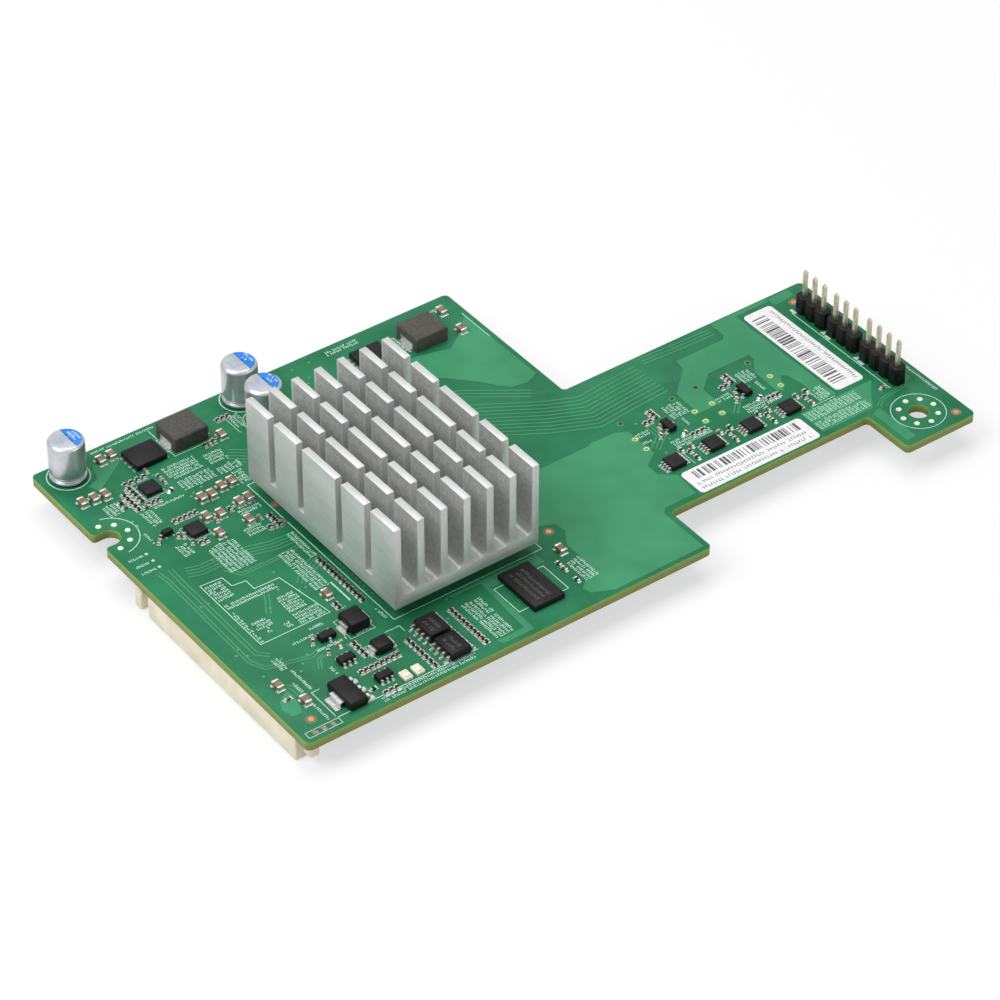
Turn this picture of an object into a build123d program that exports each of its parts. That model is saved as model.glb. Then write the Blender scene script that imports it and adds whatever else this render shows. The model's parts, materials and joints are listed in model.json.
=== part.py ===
from build123d import *
import os

# Storage mezzanine card: a stepped circuit board carried by a board-to-board
# connector, with a finned heat sink, power parts, small chips and a pin header.
# Millimetres. The origin is the middle of the outline, in the plane of the
# connector's mating face. X runs along the card, Y towards its back edge, Z up.
# Places are (x, y) from the board's front left corner. Those named "back" give y
# as the distance in front of the back edge, so that they move with that edge.

# Board outline: a broad body, a narrow arm and a tab at its end
board_width = 80.7
board_thickness = 1.6
body_back_length = 84.5
body_front_length = 79.1
arm_length = 42.2
arm_front_y = 11.0
arm_back_y = 46.9
tab_length = 15.1
board_length = body_front_length + arm_length + tab_length
tab_front_y = 0.8
outer_corner_radius = 1.0
inner_corner_radius = 0.8

# Screw hole and open screw notch
hole_from_end = 7.4
hole_y = 7.0
hole_radius = 1.8
notch_depth = 2.05
notch_from_back = 21.1
notch_radius = 1.85
notch_mouth_radius = 0.7

# Heat sink
sink_width = 28.2
sink_depth = 41.4
sink_height = 16.1
sink_base_thickness = 2.3
sink_centre_x = 41.5
sink_centre_y = 36.2
fin_count = 7
fin_thickness = 1.3
fin_foot_radius = 1.1
cross_cut_width = 1.7
middle_tooth_length = 9.2
side_tooth_length = 6.3
cross_cut_rise = 0.5

# Controller chip under the heat sink
substrate_size = 23.0
substrate_thickness = 1.0
lid_size = 19.0
lid_thickness = 1.05
thermal_pad_thickness = 0.15

# Can capacitors
can_radius = 3.15
can_height = 7.9
can_neck_radius = 2.75
can_lip_height = 0.55
can_neck_height = 0.5
can_shoulder_height = 0.35
can_top_chamfer = 0.4
bung_radius = 2.6
bung_height = 0.3
can_lead_radius = 0.3
can_lead_spacing = 2.5
lead_hole_clearance = 0.15
tail_length = 1.4
can_back_places = [(5.0, 3.8), (39.3, 3.4), (39.4, 10.5)]

# Power inductors
inductor_length = 6.6
inductor_width = 6.0
inductor_height = 2.9
inductor_edge_chamfer = 0.25
terminal_width = 3.4
terminal_height = 1.3
terminal_thickness = 0.2
terminal_foot = 0.7
inductor_back_places = [(25.8, 6.2), (73.8, 7.8)]

# Flat power switches
switch_length = 6.0
switch_width = 5.0
switch_height = 1.0
switch_pad_thickness = 0.12
switch_pad_length = 0.7
switch_pad_width = 0.6
switch_pad_pitch = 1.27
switch_pad_overhang = 0.35
switch_pad_count = 4
switch_back_places = [(17.7, 7.1), (63.4, 7.5)]

# Small square chips
square_chip_size = 3.0
square_chip_height = 0.85
square_chip_back_places = [(13.9, 14.8), (14.1, 28.0)]

# Moulded bodies on formed leads
draft_angle = 8.0
lead_sheet = 0.2
lead_knee_share = 0.35
body_stand_off = 0.1

memory_length = 10.0
memory_width = 6.1
memory_height = 1.1
memory_x = 49.3
memory_y = 9.0

so_body_width = 3.9
so_body_length = 4.9
so_body_height = 1.5
so_lead_width = 0.42
so_lead_pitch = 1.27
so_lead_reach = 1.05
so_lead_count = 4
so_places = [(30.7, 10.2), (30.7, 4.65)]

port_chip_size = 3.0
port_chip_height = 0.9
port_lead_width = 0.32
port_lead_pitch = 0.65
port_lead_reach = 0.9
port_resistor_offset = (4.1, 0.95)
port_lead_count = 4
port_from_body = 8.2
port_pitch = 8.2
port_from_arm_front = 9.25
port_count = 4

sot_body_length = 2.9
sot_body_width = 1.5
sot_body_height = 1.0
sot_lead_width = 0.4
sot_lead_pitch = 0.95
sot_lead_reach = 0.6
six_lead_places = [(15.65, 12.3), (18.1, 5.6)]
three_lead_place = (16.3, 18.6)
six_lead_sides = (3, 3)
three_lead_sides = (2, 1)
body_transistor_turn = 90
arm_transistor_turn = 180
# These are measured from the inner corner of the body and the arm
arm_three_lead_places = [(13.3, 17.4), (29.6, 17.4)]

regulator_length = 6.5
regulator_width = 3.4
regulator_height = 1.6
regulator_tab_width = 3.0
regulator_lead_width = 0.7
regulator_lead_pitch = 2.3
regulator_lead_reach = 1.6
regulator_lead_count = 3
regulator_x = 11.1
regulator_y = 5.3

# Two-lead rectifiers: length along X, width, height, lead width and place
rectifier_sizes = [(3.6, 4.0, 2.0, 2.1), (2.9, 2.6, 1.6, 1.7)]
rectifier_places = [(21.6, 18.6), (21.8, 11.4)]
rectifier_lead_reach = 0.9

# Status lamps
lamp_length = 2.0
lamp_width = 1.5
lamp_height = 0.65
lamp_lens_margin = 0.25
lamp_lens_height = 0.25
lamp_places = [(21.0, 3.75), (23.3, 3.75)]

# Ceramic capacitors, long way along Y
ceramic_length = 2.0
ceramic_width = 1.25
ceramic_height = 1.0
ceramic_end = 0.4
ceramic_places = [(22.1, 26.9), (3.6, 13.5), (5.2, 8.2), (58.7, 13.6)]
ceramic_back_places = [
    (3.0, 11.4), (5.1, 11.6), (7.1, 11.9), (11.2, 3.9), (13.4, 3.7), (31.1, 10.0),
    (19.4, 21.9), (21.2, 22.1), (23.6, 21.3), (25.6, 21.2), (17.3, 26.4), (19.6, 27.1),
    (23.7, 26.4), (25.6, 26.3), (22.5, 31.1), (16.7, 31.2), (80.6, 4.0), (80.4, 10.1),
]

# Chip resistors in rows: first place, step and count
resistor_length = 1.0
resistor_width = 0.55
resistor_height = 0.4
resistor_end = 0.22
rows_along_y = [
    ((35.9, 12.2), -1.03, 10), ((26.2, 10.4), -1.2, 7), ((26.1, 34.8), -1.1, 12),
    ((26.0, 48.9), -1.1, 3), ((18.9, 14.9), -1.1, 4), ((22.0, 24.4), -1.0, 2),
]
rows_along_x = [((16.0, 8.6), 1.0, 8), ((16.4, 2.5), 1.05, 3), ((13.2, 49.6), 1.0, 2)]
back_rows_along_y = [((9.6, 13.5), -1.1, 5)]
back_rows_along_x = [
    ((12.7, 24.1), 1.0, 5), ((11.2, 11.4), 1.2, 4), ((11.6, 17.9), 1.0, 3), ((32.9, 6.1), 1.0, 3),
]
# These two are measured from the inner corner of the body and the arm
arm_rows_along_x = [
    ((15.5, 13.4), 1.0, 3), ((31.8, 13.4), 1.0, 3), ((10.9, 20.4), 1.0, 2), ((27.2, 20.4), 1.0, 2),
]

# Pin header in three strips
header_from_end = 5.0
header_first_y = 40.0
header_pitch = 2.54
header_strip_pins = [3, 3, 4]
header_strip_gaps = [3.16, 3.59]
header_width = 2.5
header_height = 3.4
header_cell_chamfer = 0.55
pin_side = 0.64
pin_height = 8.75
pin_tip = 0.45
pin_tip_taper = 24.0
pin_hole_radius = 0.52
small_hole_sides = 8

# Board-to-board connector beneath the left edge
connector_width = 4.0
connector_length = 41.9
connector_depth = 4.4
connector_front_y = 3.6
connector_edge_radius = 0.3
slot_width = 2.2
slot_end_wall = 1.2
slot_floor = 1.0
contact_pitch = 0.8
contact_width = 0.3
contact_thickness = 0.2
contact_mouth_gap = 0.5
key_width = 1.9
key_length = 2.0
key_gap = 2.0
key_radius = 0.5
key_neck_width = 1.2
front_key_inset = 1.4
front_key_depth = 3.2

# Labels
label_length = 25.4
label_width = 6.1
label_thickness = 0.1
label_radius = 0.8
tall_label_from_end = 11.8
tall_label_y = 32.0
long_label_from_body = 19.8
long_label_from_arm_front = 3.5

board_top = connector_depth + board_thickness
match_tolerance = 0.01


def at(x, y, z=0):
    """A place measured from the board's front left corner, z above its top face."""
    return Pos(x - board_length / 2, y - board_width / 2, board_top + z)


def from_back(places):
    """Places given in front of the back edge, as places from the front left corner."""
    return [(x, board_width - y) for x, y in places]


def from_arm(x, y):
    """A place given from the inner corner of the body and the arm."""
    return body_front_length + x, arm_front_y + y


def block(length, width, height):
    """A box standing on z = 0, centred in plan."""
    return Box(length, width, height, align=(Align.CENTER, Align.CENTER, Align.MIN))


def corners_at(face, places):
    """The corners of a flat outline that lie at the given places."""
    return [
        v for v in face.vertices()
        if any(abs(v.X - x) < match_tolerance and abs(v.Y - y) < match_tolerance for x, y in places)
    ]


def moulded_body(length, width, height):
    """A chip body whose sides draft away from the parting plane at mid height."""
    outline = Rectangle(length, width)
    upper = extrude(outline, height / 2, taper=draft_angle)
    lower = extrude(outline, -height / 2, taper=draft_angle)
    return Pos(0, 0, height / 2) * (upper + lower)


def formed_lead(body_half, reach, rise, width):
    """A gull-wing lead leaving a body face towards +X and landing on the board."""
    knee = body_half + reach * lead_knee_share
    toe = body_half + reach
    ankle = knee + lead_sheet
    points = [
        (body_half, rise), (ankle, rise), (ankle, lead_sheet), (toe, lead_sheet),
        (toe, 0), (knee, 0), (knee, rise - lead_sheet), (body_half, rise - lead_sheet),
    ]
    profile = Plane.XZ * make_face(Polyline(*points, close=True))
    return extrude(profile, width / 2, both=True)


def lead_row(body_half, reach, rise, width, pitch, count):
    """Leads side by side along Y on the +X side of a body."""
    first = -(count - 1) * pitch / 2
    return [
        Pos(0, first + i * pitch, 0) * formed_lead(body_half, reach, rise, width)
        for i in range(count)
    ]


def both_sides(leads):
    """The same leads on the +X and the -X side."""
    return leads + [Rot(0, 0, 180) * lead for lead in leads]


def header_pin_offsets():
    """Distance of every header pin behind the first, strip by strip."""
    strips = []
    start = 0.0
    for i, count in enumerate(header_strip_pins):
        strips.append([start + k * header_pitch for k in range(count)])
        if i < len(header_strip_gaps):
            start = strips[-1][-1] + header_strip_gaps[i]
    return strips


def can_lead_places():
    """Both leads of every can capacitor."""
    half = can_lead_spacing / 2
    return [(x + side * half, y) for x, y in from_back(can_back_places) for side in (-1, 1)]


def circuit_board():
    tab_left_x = board_length - tab_length
    notch_y = board_width - notch_from_back
    points = [
        (0, 0), (body_front_length, 0), (body_front_length, arm_front_y),
        (tab_left_x, arm_front_y), (tab_left_x, tab_front_y), (board_length, tab_front_y),
        (board_length, arm_back_y), (body_back_length, arm_back_y),
        (body_back_length, board_width), (0, board_width),
    ]
    inner = [(body_front_length, arm_front_y), (tab_left_x, arm_front_y), (body_back_length, arm_back_y)]
    outline = make_face(Polyline(*points, close=True))
    outer = [p for p in points if p not in inner]
    outline = fillet(corners_at(outline, inner), inner_corner_radius)
    outline = fillet(corners_at(outline, outer), outer_corner_radius)
    outline -= Pos(notch_depth, notch_y) * Circle(notch_radius)
    outline -= Pos(notch_depth / 2, notch_y) * Rectangle(notch_depth, 2 * notch_radius)
    mouth = [(0, notch_y - notch_radius), (0, notch_y + notch_radius)]
    outline = fillet(corners_at(outline, mouth), notch_mouth_radius)
    outline -= Pos(board_length - hole_from_end, hole_y) * Circle(hole_radius)
    header_x = board_length - header_from_end
    pin_hole = RegularPolygon(pin_hole_radius, small_hole_sides)
    for strip in header_pin_offsets():
        for offset in strip:
            outline -= Pos(header_x, header_first_y - offset) * pin_hole
    lead_hole = RegularPolygon(can_lead_radius + lead_hole_clearance, small_hole_sides)
    for x, y in can_lead_places():
        outline -= Pos(x, y) * lead_hole
    return at(0, 0, -board_thickness) * extrude(outline, board_thickness)


def heat_sink():
    """An extruded profile of upright fins, sawn across into rows of teeth."""
    pitch = (sink_width - fin_thickness) / (fin_count - 1)
    fin_height = sink_height - sink_base_thickness
    profile = Pos(0, sink_base_thickness / 2) * Rectangle(sink_width, sink_base_thickness)
    for i in range(fin_count):
        middle = -sink_width / 2 + fin_thickness / 2 + i * pitch
        profile += Pos(middle, sink_base_thickness + fin_height / 2) * Rectangle(fin_thickness, fin_height)
    half = sink_width / 2
    flanks = [-half + i * pitch + side for i in range(fin_count) for side in (0, fin_thickness)]
    feet = [(x, sink_base_thickness) for x in flanks[1:-1]]
    profile = fillet(corners_at(profile, feet), fin_foot_radius)
    sink = extrude(Plane.XZ * profile, sink_depth / 2, both=True)
    cut_floor = sink_base_thickness + cross_cut_rise
    inner_cut = middle_tooth_length / 2 + cross_cut_width / 2
    outer_cut = inner_cut + side_tooth_length + cross_cut_width
    for y in (-outer_cut, -inner_cut, inner_cut, outer_cut):
        saw = block(sink_width, cross_cut_width, sink_height - cut_floor)
        sink -= Pos(0, y, cut_floor) * saw
    lift = substrate_thickness + lid_thickness + thermal_pad_thickness
    return at(sink_centre_x, sink_centre_y, lift) * sink


def controller_substrate():
    return at(sink_centre_x, sink_centre_y) * block(substrate_size, substrate_size, substrate_thickness)


def controller_lid():
    return at(sink_centre_x, sink_centre_y, substrate_thickness) * block(lid_size, lid_size, lid_thickness)


def thermal_pad():
    lift = substrate_thickness + lid_thickness
    return at(sink_centre_x, sink_centre_y, lift) * block(lid_size, lid_size, thermal_pad_thickness)


def capacitor_can(x, y):
    """A drawn can: rolled lip, crimped neck, straight wall and broken top edge."""
    neck_low = bung_height + can_lip_height
    neck_high = neck_low + can_neck_height
    shoulder = neck_high + can_shoulder_height
    points = [
        (0, bung_height), (can_radius, bung_height), (can_radius, neck_low), (can_neck_radius, neck_low),
        (can_neck_radius, neck_high), (can_radius, shoulder), (can_radius, can_height), (0, can_height),
    ]
    face = make_face(Polyline(*points, close=True))
    face = chamfer(corners_at(face, [(can_radius, can_height)]), can_top_chamfer)
    return at(x, y) * revolve(Plane.XZ * face, Axis.Z)


def capacitor_bung(x, y):
    return at(x, y) * extrude(Circle(bung_radius), bung_height)


def capacitor_leads(x, y):
    half = can_lead_spacing / 2
    reach = board_thickness + tail_length
    lead = extrude(RegularPolygon(can_lead_radius, small_hole_sides), reach)
    return [at(x + side * half, y, -reach) * lead for side in (-1, 1)]


def inductor_body(x, y):
    body = block(inductor_length, inductor_width, inductor_height)
    body = chamfer(body.edges().group_by(Axis.Z)[-1], inductor_edge_chamfer)
    for side in (-1, 1):
        pocket = block(terminal_thickness, terminal_width, terminal_height)
        body -= Pos(side * (inductor_length - terminal_thickness) / 2, 0, 0) * pocket
    return at(x, y) * body


def inductor_terminals(x, y):
    """A plate flush in each end face with a foot soldered down in front of it."""
    pieces = []
    for side in (-1, 1):
        plate = block(terminal_thickness, terminal_width, terminal_height)
        foot = block(terminal_foot, terminal_width, terminal_thickness)
        plate_x = side * (inductor_length - terminal_thickness) / 2
        foot_x = side * (inductor_length + terminal_foot) / 2
        pieces.append(at(x, y) * (Pos(plate_x, 0, 0) * plate + Pos(foot_x, 0, 0) * foot))
    return pieces


def power_switch(x, y):
    return at(x, y, switch_pad_thickness) * block(switch_length, switch_width, switch_height)


def power_switch_pads(x, y):
    """Four end pads showing past each short side of the body, which rests on them."""
    pieces = []
    reach = switch_length / 2 + switch_pad_overhang - switch_pad_length / 2
    for side in (-1, 1):
        for i in range(switch_pad_count):
            offset = (i - (switch_pad_count - 1) / 2) * switch_pad_pitch
            pad = block(switch_pad_length, switch_pad_width, switch_pad_thickness)
            pieces.append(at(x + side * reach, y + offset) * pad)
    return pieces


def square_chip(x, y):
    return at(x, y) * block(square_chip_size, square_chip_size, square_chip_height)


def memory_chip():
    return at(memory_x, memory_y) * moulded_body(memory_width, memory_length, memory_height)


def so_chip(x, y):
    return at(x, y, body_stand_off) * moulded_body(so_body_width, so_body_length, so_body_height)


def so_leads(x, y):
    rise = body_stand_off + so_body_height / 2 + lead_sheet / 2
    row = lead_row(so_body_width / 2, so_lead_reach, rise, so_lead_width, so_lead_pitch, so_lead_count)
    return [at(x, y) * lead for lead in both_sides(row)]


def port_place(i):
    return from_arm(port_from_body + i * port_pitch, port_from_arm_front)


def port_chip(i):
    x, y = port_place(i)
    return at(x, y, body_stand_off) * moulded_body(port_chip_size, port_chip_size, port_chip_height)


def port_leads(i):
    x, y = port_place(i)
    rise = body_stand_off + port_chip_height / 2 + lead_sheet / 2
    half = port_chip_size / 2
    row = lead_row(half, port_lead_reach, rise, port_lead_width, port_lead_pitch, port_lead_count)
    return [at(x, y) * lead for lead in both_sides(row)]


def transistor_places():
    """Place, turn in plan and the number of leads on each side of every transistor."""
    places = [(place, body_transistor_turn, six_lead_sides) for place in six_lead_places]
    places.append((three_lead_place, body_transistor_turn, three_lead_sides))
    places += [(from_arm(*place), arm_transistor_turn, three_lead_sides) for place in arm_three_lead_places]
    return places


def transistor(place, turn):
    body = moulded_body(sot_body_width, sot_body_length, sot_body_height)
    return at(*place, body_stand_off) * Rot(0, 0, turn) * body


def transistor_leads(place, turn, counts):
    """Leads on both long sides; two on a side take the outer places of three."""
    rise = body_stand_off + sot_body_height / 2 + lead_sheet / 2
    pieces = []
    for count, side_turn in zip(counts, (0, 180)):
        pitch = 2 * sot_lead_pitch if count == 2 else sot_lead_pitch
        row = lead_row(sot_body_width / 2, sot_lead_reach, rise, sot_lead_width, pitch, count)
        pieces += [at(*place) * Rot(0, 0, turn + side_turn) * lead for lead in row]
    return pieces


def regulator():
    body = moulded_body(regulator_width, regulator_length, regulator_height)
    return at(regulator_x, regulator_y, body_stand_off) * body


def regulator_leads():
    """A broad tab on the left and three leads on the right."""
    rise = body_stand_off + regulator_height / 2 + lead_sheet / 2
    half = regulator_width / 2
    tab = Rot(0, 0, 180) * formed_lead(half, regulator_lead_reach, rise, regulator_tab_width)
    pitch = regulator_lead_pitch
    row = lead_row(half, regulator_lead_reach, rise, regulator_lead_width, pitch, regulator_lead_count)
    return [at(regulator_x, regulator_y) * lead for lead in [tab] + row]


def rectifier(i):
    length, width, height, _ = rectifier_sizes[i]
    x, y = rectifier_places[i]
    return at(x, y, body_stand_off) * moulded_body(length, width, height)


def rectifier_leads(i):
    length, _, height, lead_width = rectifier_sizes[i]
    x, y = rectifier_places[i]
    rise = body_stand_off + height / 2 + lead_sheet / 2
    lead = formed_lead(length / 2, rectifier_lead_reach, rise, lead_width)
    return [at(x, y) * piece for piece in both_sides([lead])]


def status_lamp(x, y):
    return at(x, y) * block(lamp_width, lamp_length, lamp_height)


def status_lens(x, y):
    width = lamp_width - 2 * lamp_lens_margin
    length = lamp_length - 2 * lamp_lens_margin
    return at(x, y, lamp_height) * block(width, length, lamp_lens_height)


def two_end_part(place, turn, length, width, height, end):
    """The body and both metal ends of a chip part lying along Y, turned in plan."""
    body = block(width, length - 2 * end, height)
    cap = block(width, end, height)
    offset = (length - end) / 2
    spot = at(*place) * Rot(0, 0, turn)
    return spot * body, [spot * Pos(0, side * offset, 0) * cap for side in (-1, 1)]


def ceramic_capacitors():
    bodies = []
    ends = []
    for place in ceramic_places + from_back(ceramic_back_places):
        body, caps = two_end_part(place, 0, ceramic_length, ceramic_width, ceramic_height, ceramic_end)
        bodies.append(body)
        ends += caps
    return bodies, ends


def resistor_places():
    """Each chip resistor's place and turn, row by row."""
    rows = [(start, 0, step, count) for start, step, count in rows_along_y]
    rows += [(start, step, 0, count) for start, step, count in rows_along_x]
    rows += [(*from_back([start]), 0, step, count) for start, step, count in back_rows_along_y]
    rows += [(*from_back([start]), step, 0, count) for start, step, count in back_rows_along_x]
    rows += [(from_arm(*start), step, 0, count) for start, step, count in arm_rows_along_x]
    beside_port = (port_from_body + port_resistor_offset[0], port_from_arm_front + port_resistor_offset[1])
    rows.append((from_arm(*beside_port), port_pitch, 0, port_count))
    places = []
    for (x, y), step_x, step_y, count in rows:
        turn = 0 if step_x else 90
        places += [(x + i * step_x, y + i * step_y, turn) for i in range(count)]
    return places


def chip_resistors():
    bodies = []
    ends = []
    for x, y, turn in resistor_places():
        body, caps = two_end_part(
            (x, y), turn, resistor_length, resistor_width, resistor_height, resistor_end
        )
        bodies.append(body)
        ends += caps
    return bodies, ends


def header_housing(offsets):
    """A strip of chamfered square cells, each pierced by one pin."""
    cell = Rectangle(header_width, header_pitch)
    cell = chamfer(cell.vertices(), header_cell_chamfer)
    outline = Sketch()
    header_x = board_length - header_from_end
    for offset in offsets:
        outline += Pos(header_x, header_first_y - offset) * cell
    for offset in offsets:
        outline -= Pos(header_x, header_first_y - offset) * Rectangle(pin_side, pin_side)
    return at(0, 0) * extrude(outline, header_height)


def header_pins(offsets):
    pieces = []
    foot = -board_thickness - tail_length
    shank = pin_height - pin_tip - foot
    pin = block(pin_side, pin_side, shank)
    pin += Pos(0, 0, shank) * extrude(Rectangle(pin_side, pin_side), pin_tip, taper=pin_tip_taper)
    for offset in offsets:
        pieces.append(at(board_length - header_from_end, header_first_y - offset, foot) * pin)
    return pieces


def connector_housing():
    """A slotted moulding with a key post at each end, on opposite sides."""
    body = block(connector_width, connector_length, connector_depth)
    body = fillet(body.edges().filter_by(Axis.Z), connector_edge_radius)
    slot = block(slot_width, connector_length - 2 * slot_end_wall, connector_depth - slot_floor)
    body -= slot
    end_y = connector_length / 2
    back_key = block(key_width, key_length, connector_depth)
    back_key = fillet(back_key.edges().filter_by(Axis.Z), key_radius)
    back_x = (key_width - connector_width) / 2
    body += Pos(back_x, end_y + key_gap + key_length / 2, 0) * back_key
    neck_x = back_x + key_width / 2 - key_neck_width / 2
    neck = block(key_neck_width, key_gap + key_length, connector_depth)
    body += Pos(neck_x + key_neck_width / 2, end_y + (key_gap + key_length) / 2 - key_radius, 0) * neck
    front_key = block(key_width, key_length + key_radius, front_key_depth)
    front_key = fillet(front_key.edges().filter_by(Axis.Z), key_radius)
    front_x = front_key_inset + (key_width - connector_width) / 2
    front_z = connector_depth - front_key_depth
    body += Pos(front_x, -end_y - key_length / 2 + key_radius / 2, front_z) * front_key
    return connector_place() * body


def connector_place():
    return at(connector_width / 2, connector_front_y + connector_length / 2, -board_top)


def connector_contacts():
    """Two facing rows of flat contacts standing against the slot's walls."""
    room = connector_length - 2 * slot_end_wall - contact_pitch
    count = int(room / contact_pitch)
    height = connector_depth - slot_floor - contact_mouth_gap
    pieces = []
    for side in (-1, 1):
        x = side * (slot_width - contact_thickness) / 2
        for i in range(count):
            y = (i - (count - 1) / 2) * contact_pitch
            contact = block(contact_thickness, contact_width, height)
            pieces.append(connector_place() * Pos(x, y, contact_mouth_gap) * contact)
    return pieces


def label(place, turn):
    sheet = extrude(RectangleRounded(label_width, label_length, label_radius), label_thickness)
    return at(*place) * Rot(0, 0, turn) * sheet


def save(name, shape):
    """Write one sub-part; a list of pieces is kept together in one file."""
    if isinstance(shape, list):
        shape = Compound(children=shape)
    export_step(shape, f"parts/{name}.step")


def main():
    os.makedirs("parts", exist_ok=True)
    save("circuit_board", circuit_board())
    save("heat_sink", heat_sink())
    save("thermal_pad", thermal_pad())
    save("controller_lid", controller_lid())
    save("controller_substrate", controller_substrate())
    for i, place in enumerate(from_back(can_back_places), 1):
        save(f"capacitor_can_{i}", capacitor_can(*place))
        save(f"capacitor_bung_{i}", capacitor_bung(*place))
        save(f"capacitor_leads_{i}", capacitor_leads(*place))
    for i, place in enumerate(from_back(inductor_back_places), 1):
        save(f"inductor_{i}", inductor_body(*place))
        save(f"inductor_terminals_{i}", inductor_terminals(*place))
    switch_places = from_back(switch_back_places)
    for i, place in enumerate(switch_places, 1):
        save(f"power_switch_{i}", power_switch(*place))
    save("power_switch_pads", sum([power_switch_pads(*place) for place in switch_places], []))
    for i, place in enumerate(from_back(square_chip_back_places), 1):
        save(f"square_chip_{i}", square_chip(*place))
    save("memory_chip", memory_chip())
    for i, place in enumerate(so_places, 1):
        save(f"driver_chip_{i}", so_chip(*place))
        save(f"driver_leads_{i}", so_leads(*place))
    for i in range(port_count):
        save(f"port_chip_{i + 1}", port_chip(i))
        save(f"port_leads_{i + 1}", port_leads(i))
    places = transistor_places()
    save("transistors", [transistor(place, turn) for place, turn, _ in places])
    save("transistor_leads", sum([transistor_leads(*entry) for entry in places], []))
    save("regulator", regulator())
    save("regulator_leads", regulator_leads())
    for i in range(len(rectifier_places)):
        save(f"rectifier_{i + 1}", rectifier(i))
        save(f"rectifier_leads_{i + 1}", rectifier_leads(i))
    save("status_lamps", [status_lamp(*place) for place in lamp_places])
    save("status_lenses", [status_lens(*place) for place in lamp_places])
    ceramic_bodies, ceramic_ends = ceramic_capacitors()
    save("ceramic_capacitors", ceramic_bodies)
    save("ceramic_capacitor_ends", ceramic_ends)
    resistor_bodies, resistor_ends = chip_resistors()
    save("chip_resistors", resistor_bodies)
    save("chip_resistor_ends", resistor_ends)
    for i, offsets in enumerate(header_pin_offsets(), 1):
        save(f"header_housing_{i}", header_housing(offsets))
        save(f"header_pins_{i}", header_pins(offsets))
    save("connector_housing", connector_housing())
    save("connector_contacts", connector_contacts())
    save("tall_label", label((board_length - tall_label_from_end, tall_label_y), 0))
    save("long_label", label(from_arm(long_label_from_body, long_label_from_arm_front), 90))


main()
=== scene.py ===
# %% [markdown]
# # Dressing a storage mezzanine card
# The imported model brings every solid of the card: board, heat sink, cans, chips, header and connector.
# This lesson adds what a camera sees on them: edges that catch light, solder mask over copper, printed
# marks, plated vias, labels and a finish for each material.

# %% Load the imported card
import bpy
import json
import math
import random
from mathutils import Matrix, Vector


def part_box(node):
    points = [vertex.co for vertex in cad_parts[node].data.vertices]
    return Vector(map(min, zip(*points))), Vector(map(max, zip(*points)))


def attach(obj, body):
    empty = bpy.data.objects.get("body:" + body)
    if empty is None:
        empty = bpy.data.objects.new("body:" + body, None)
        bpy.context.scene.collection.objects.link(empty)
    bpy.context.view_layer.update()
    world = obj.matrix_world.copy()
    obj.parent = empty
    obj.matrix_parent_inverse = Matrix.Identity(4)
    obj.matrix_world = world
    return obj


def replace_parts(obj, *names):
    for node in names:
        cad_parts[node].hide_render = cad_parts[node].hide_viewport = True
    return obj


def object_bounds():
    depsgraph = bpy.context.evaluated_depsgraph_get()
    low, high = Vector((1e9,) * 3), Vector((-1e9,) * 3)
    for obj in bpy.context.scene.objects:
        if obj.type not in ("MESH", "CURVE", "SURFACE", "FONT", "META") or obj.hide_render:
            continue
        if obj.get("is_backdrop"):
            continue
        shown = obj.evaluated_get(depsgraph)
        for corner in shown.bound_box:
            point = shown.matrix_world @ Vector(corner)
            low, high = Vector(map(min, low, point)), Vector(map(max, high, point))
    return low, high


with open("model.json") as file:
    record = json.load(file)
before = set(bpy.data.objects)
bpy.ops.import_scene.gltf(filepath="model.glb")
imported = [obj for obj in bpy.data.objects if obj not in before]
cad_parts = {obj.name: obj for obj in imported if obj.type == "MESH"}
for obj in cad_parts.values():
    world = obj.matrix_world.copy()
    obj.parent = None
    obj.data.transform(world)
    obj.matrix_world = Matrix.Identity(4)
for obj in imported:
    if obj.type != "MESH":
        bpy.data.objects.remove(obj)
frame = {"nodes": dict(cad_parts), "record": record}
cad_low, cad_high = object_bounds()
MM = 0.001  # one millimetre in the model's metres
print("nodes:", len(frame["nodes"]), "size in mm:", [round(v / MM, 1) for v in cad_high - cad_low])

# %% [markdown]
# A place on the card is easiest to give as a layout drawing does: millimetres from the board's front
# left corner, with z above its top face. Helpers turn such a place into the model's own metres and back.

# %% Places on the board
board_low, board_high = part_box("circuit_board")


def spot(x, y, z=0.0):
    """A place in board millimetres as a point of the model in metres."""
    return Vector((board_low.x + x * MM, board_low.y + y * MM, board_high.z + z * MM))


def board_place(point):
    """A point of the model as board millimetres."""
    return (point.x - board_low.x) / MM, (point.y - board_low.y) / MM


def middle_of(node):
    """The middle of a node's box in board millimetres."""
    low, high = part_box(node)
    return board_place((low + high) / 2)


def corners_of(node):
    """Two opposite corners of a node's box in board millimetres."""
    low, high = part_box(node)
    return (*board_place(low), *board_place(high))


def top_of(node):
    """How far a node's top stands above the board's face, in millimetres."""
    return (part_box(node)[1].z - board_high.z) / MM


def deselect():
    """Leaves edit mode and selects nothing."""
    if bpy.context.object and bpy.context.object.mode != "OBJECT":
        bpy.ops.object.mode_set(mode="OBJECT")
    bpy.ops.object.select_all(action="DESELECT")


def choose(piece):
    """Makes a piece the only selected one."""
    deselect()
    piece.select_set(True)
    bpy.context.view_layer.objects.active = piece


def leave_edit():
    bpy.ops.object.mode_set(mode="OBJECT")


def edit_whole(piece):
    """Leaves a piece in edit mode with all of it selected."""
    choose(piece)
    bpy.ops.object.mode_set(mode="EDIT")
    bpy.ops.mesh.select_all(action="SELECT")


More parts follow.
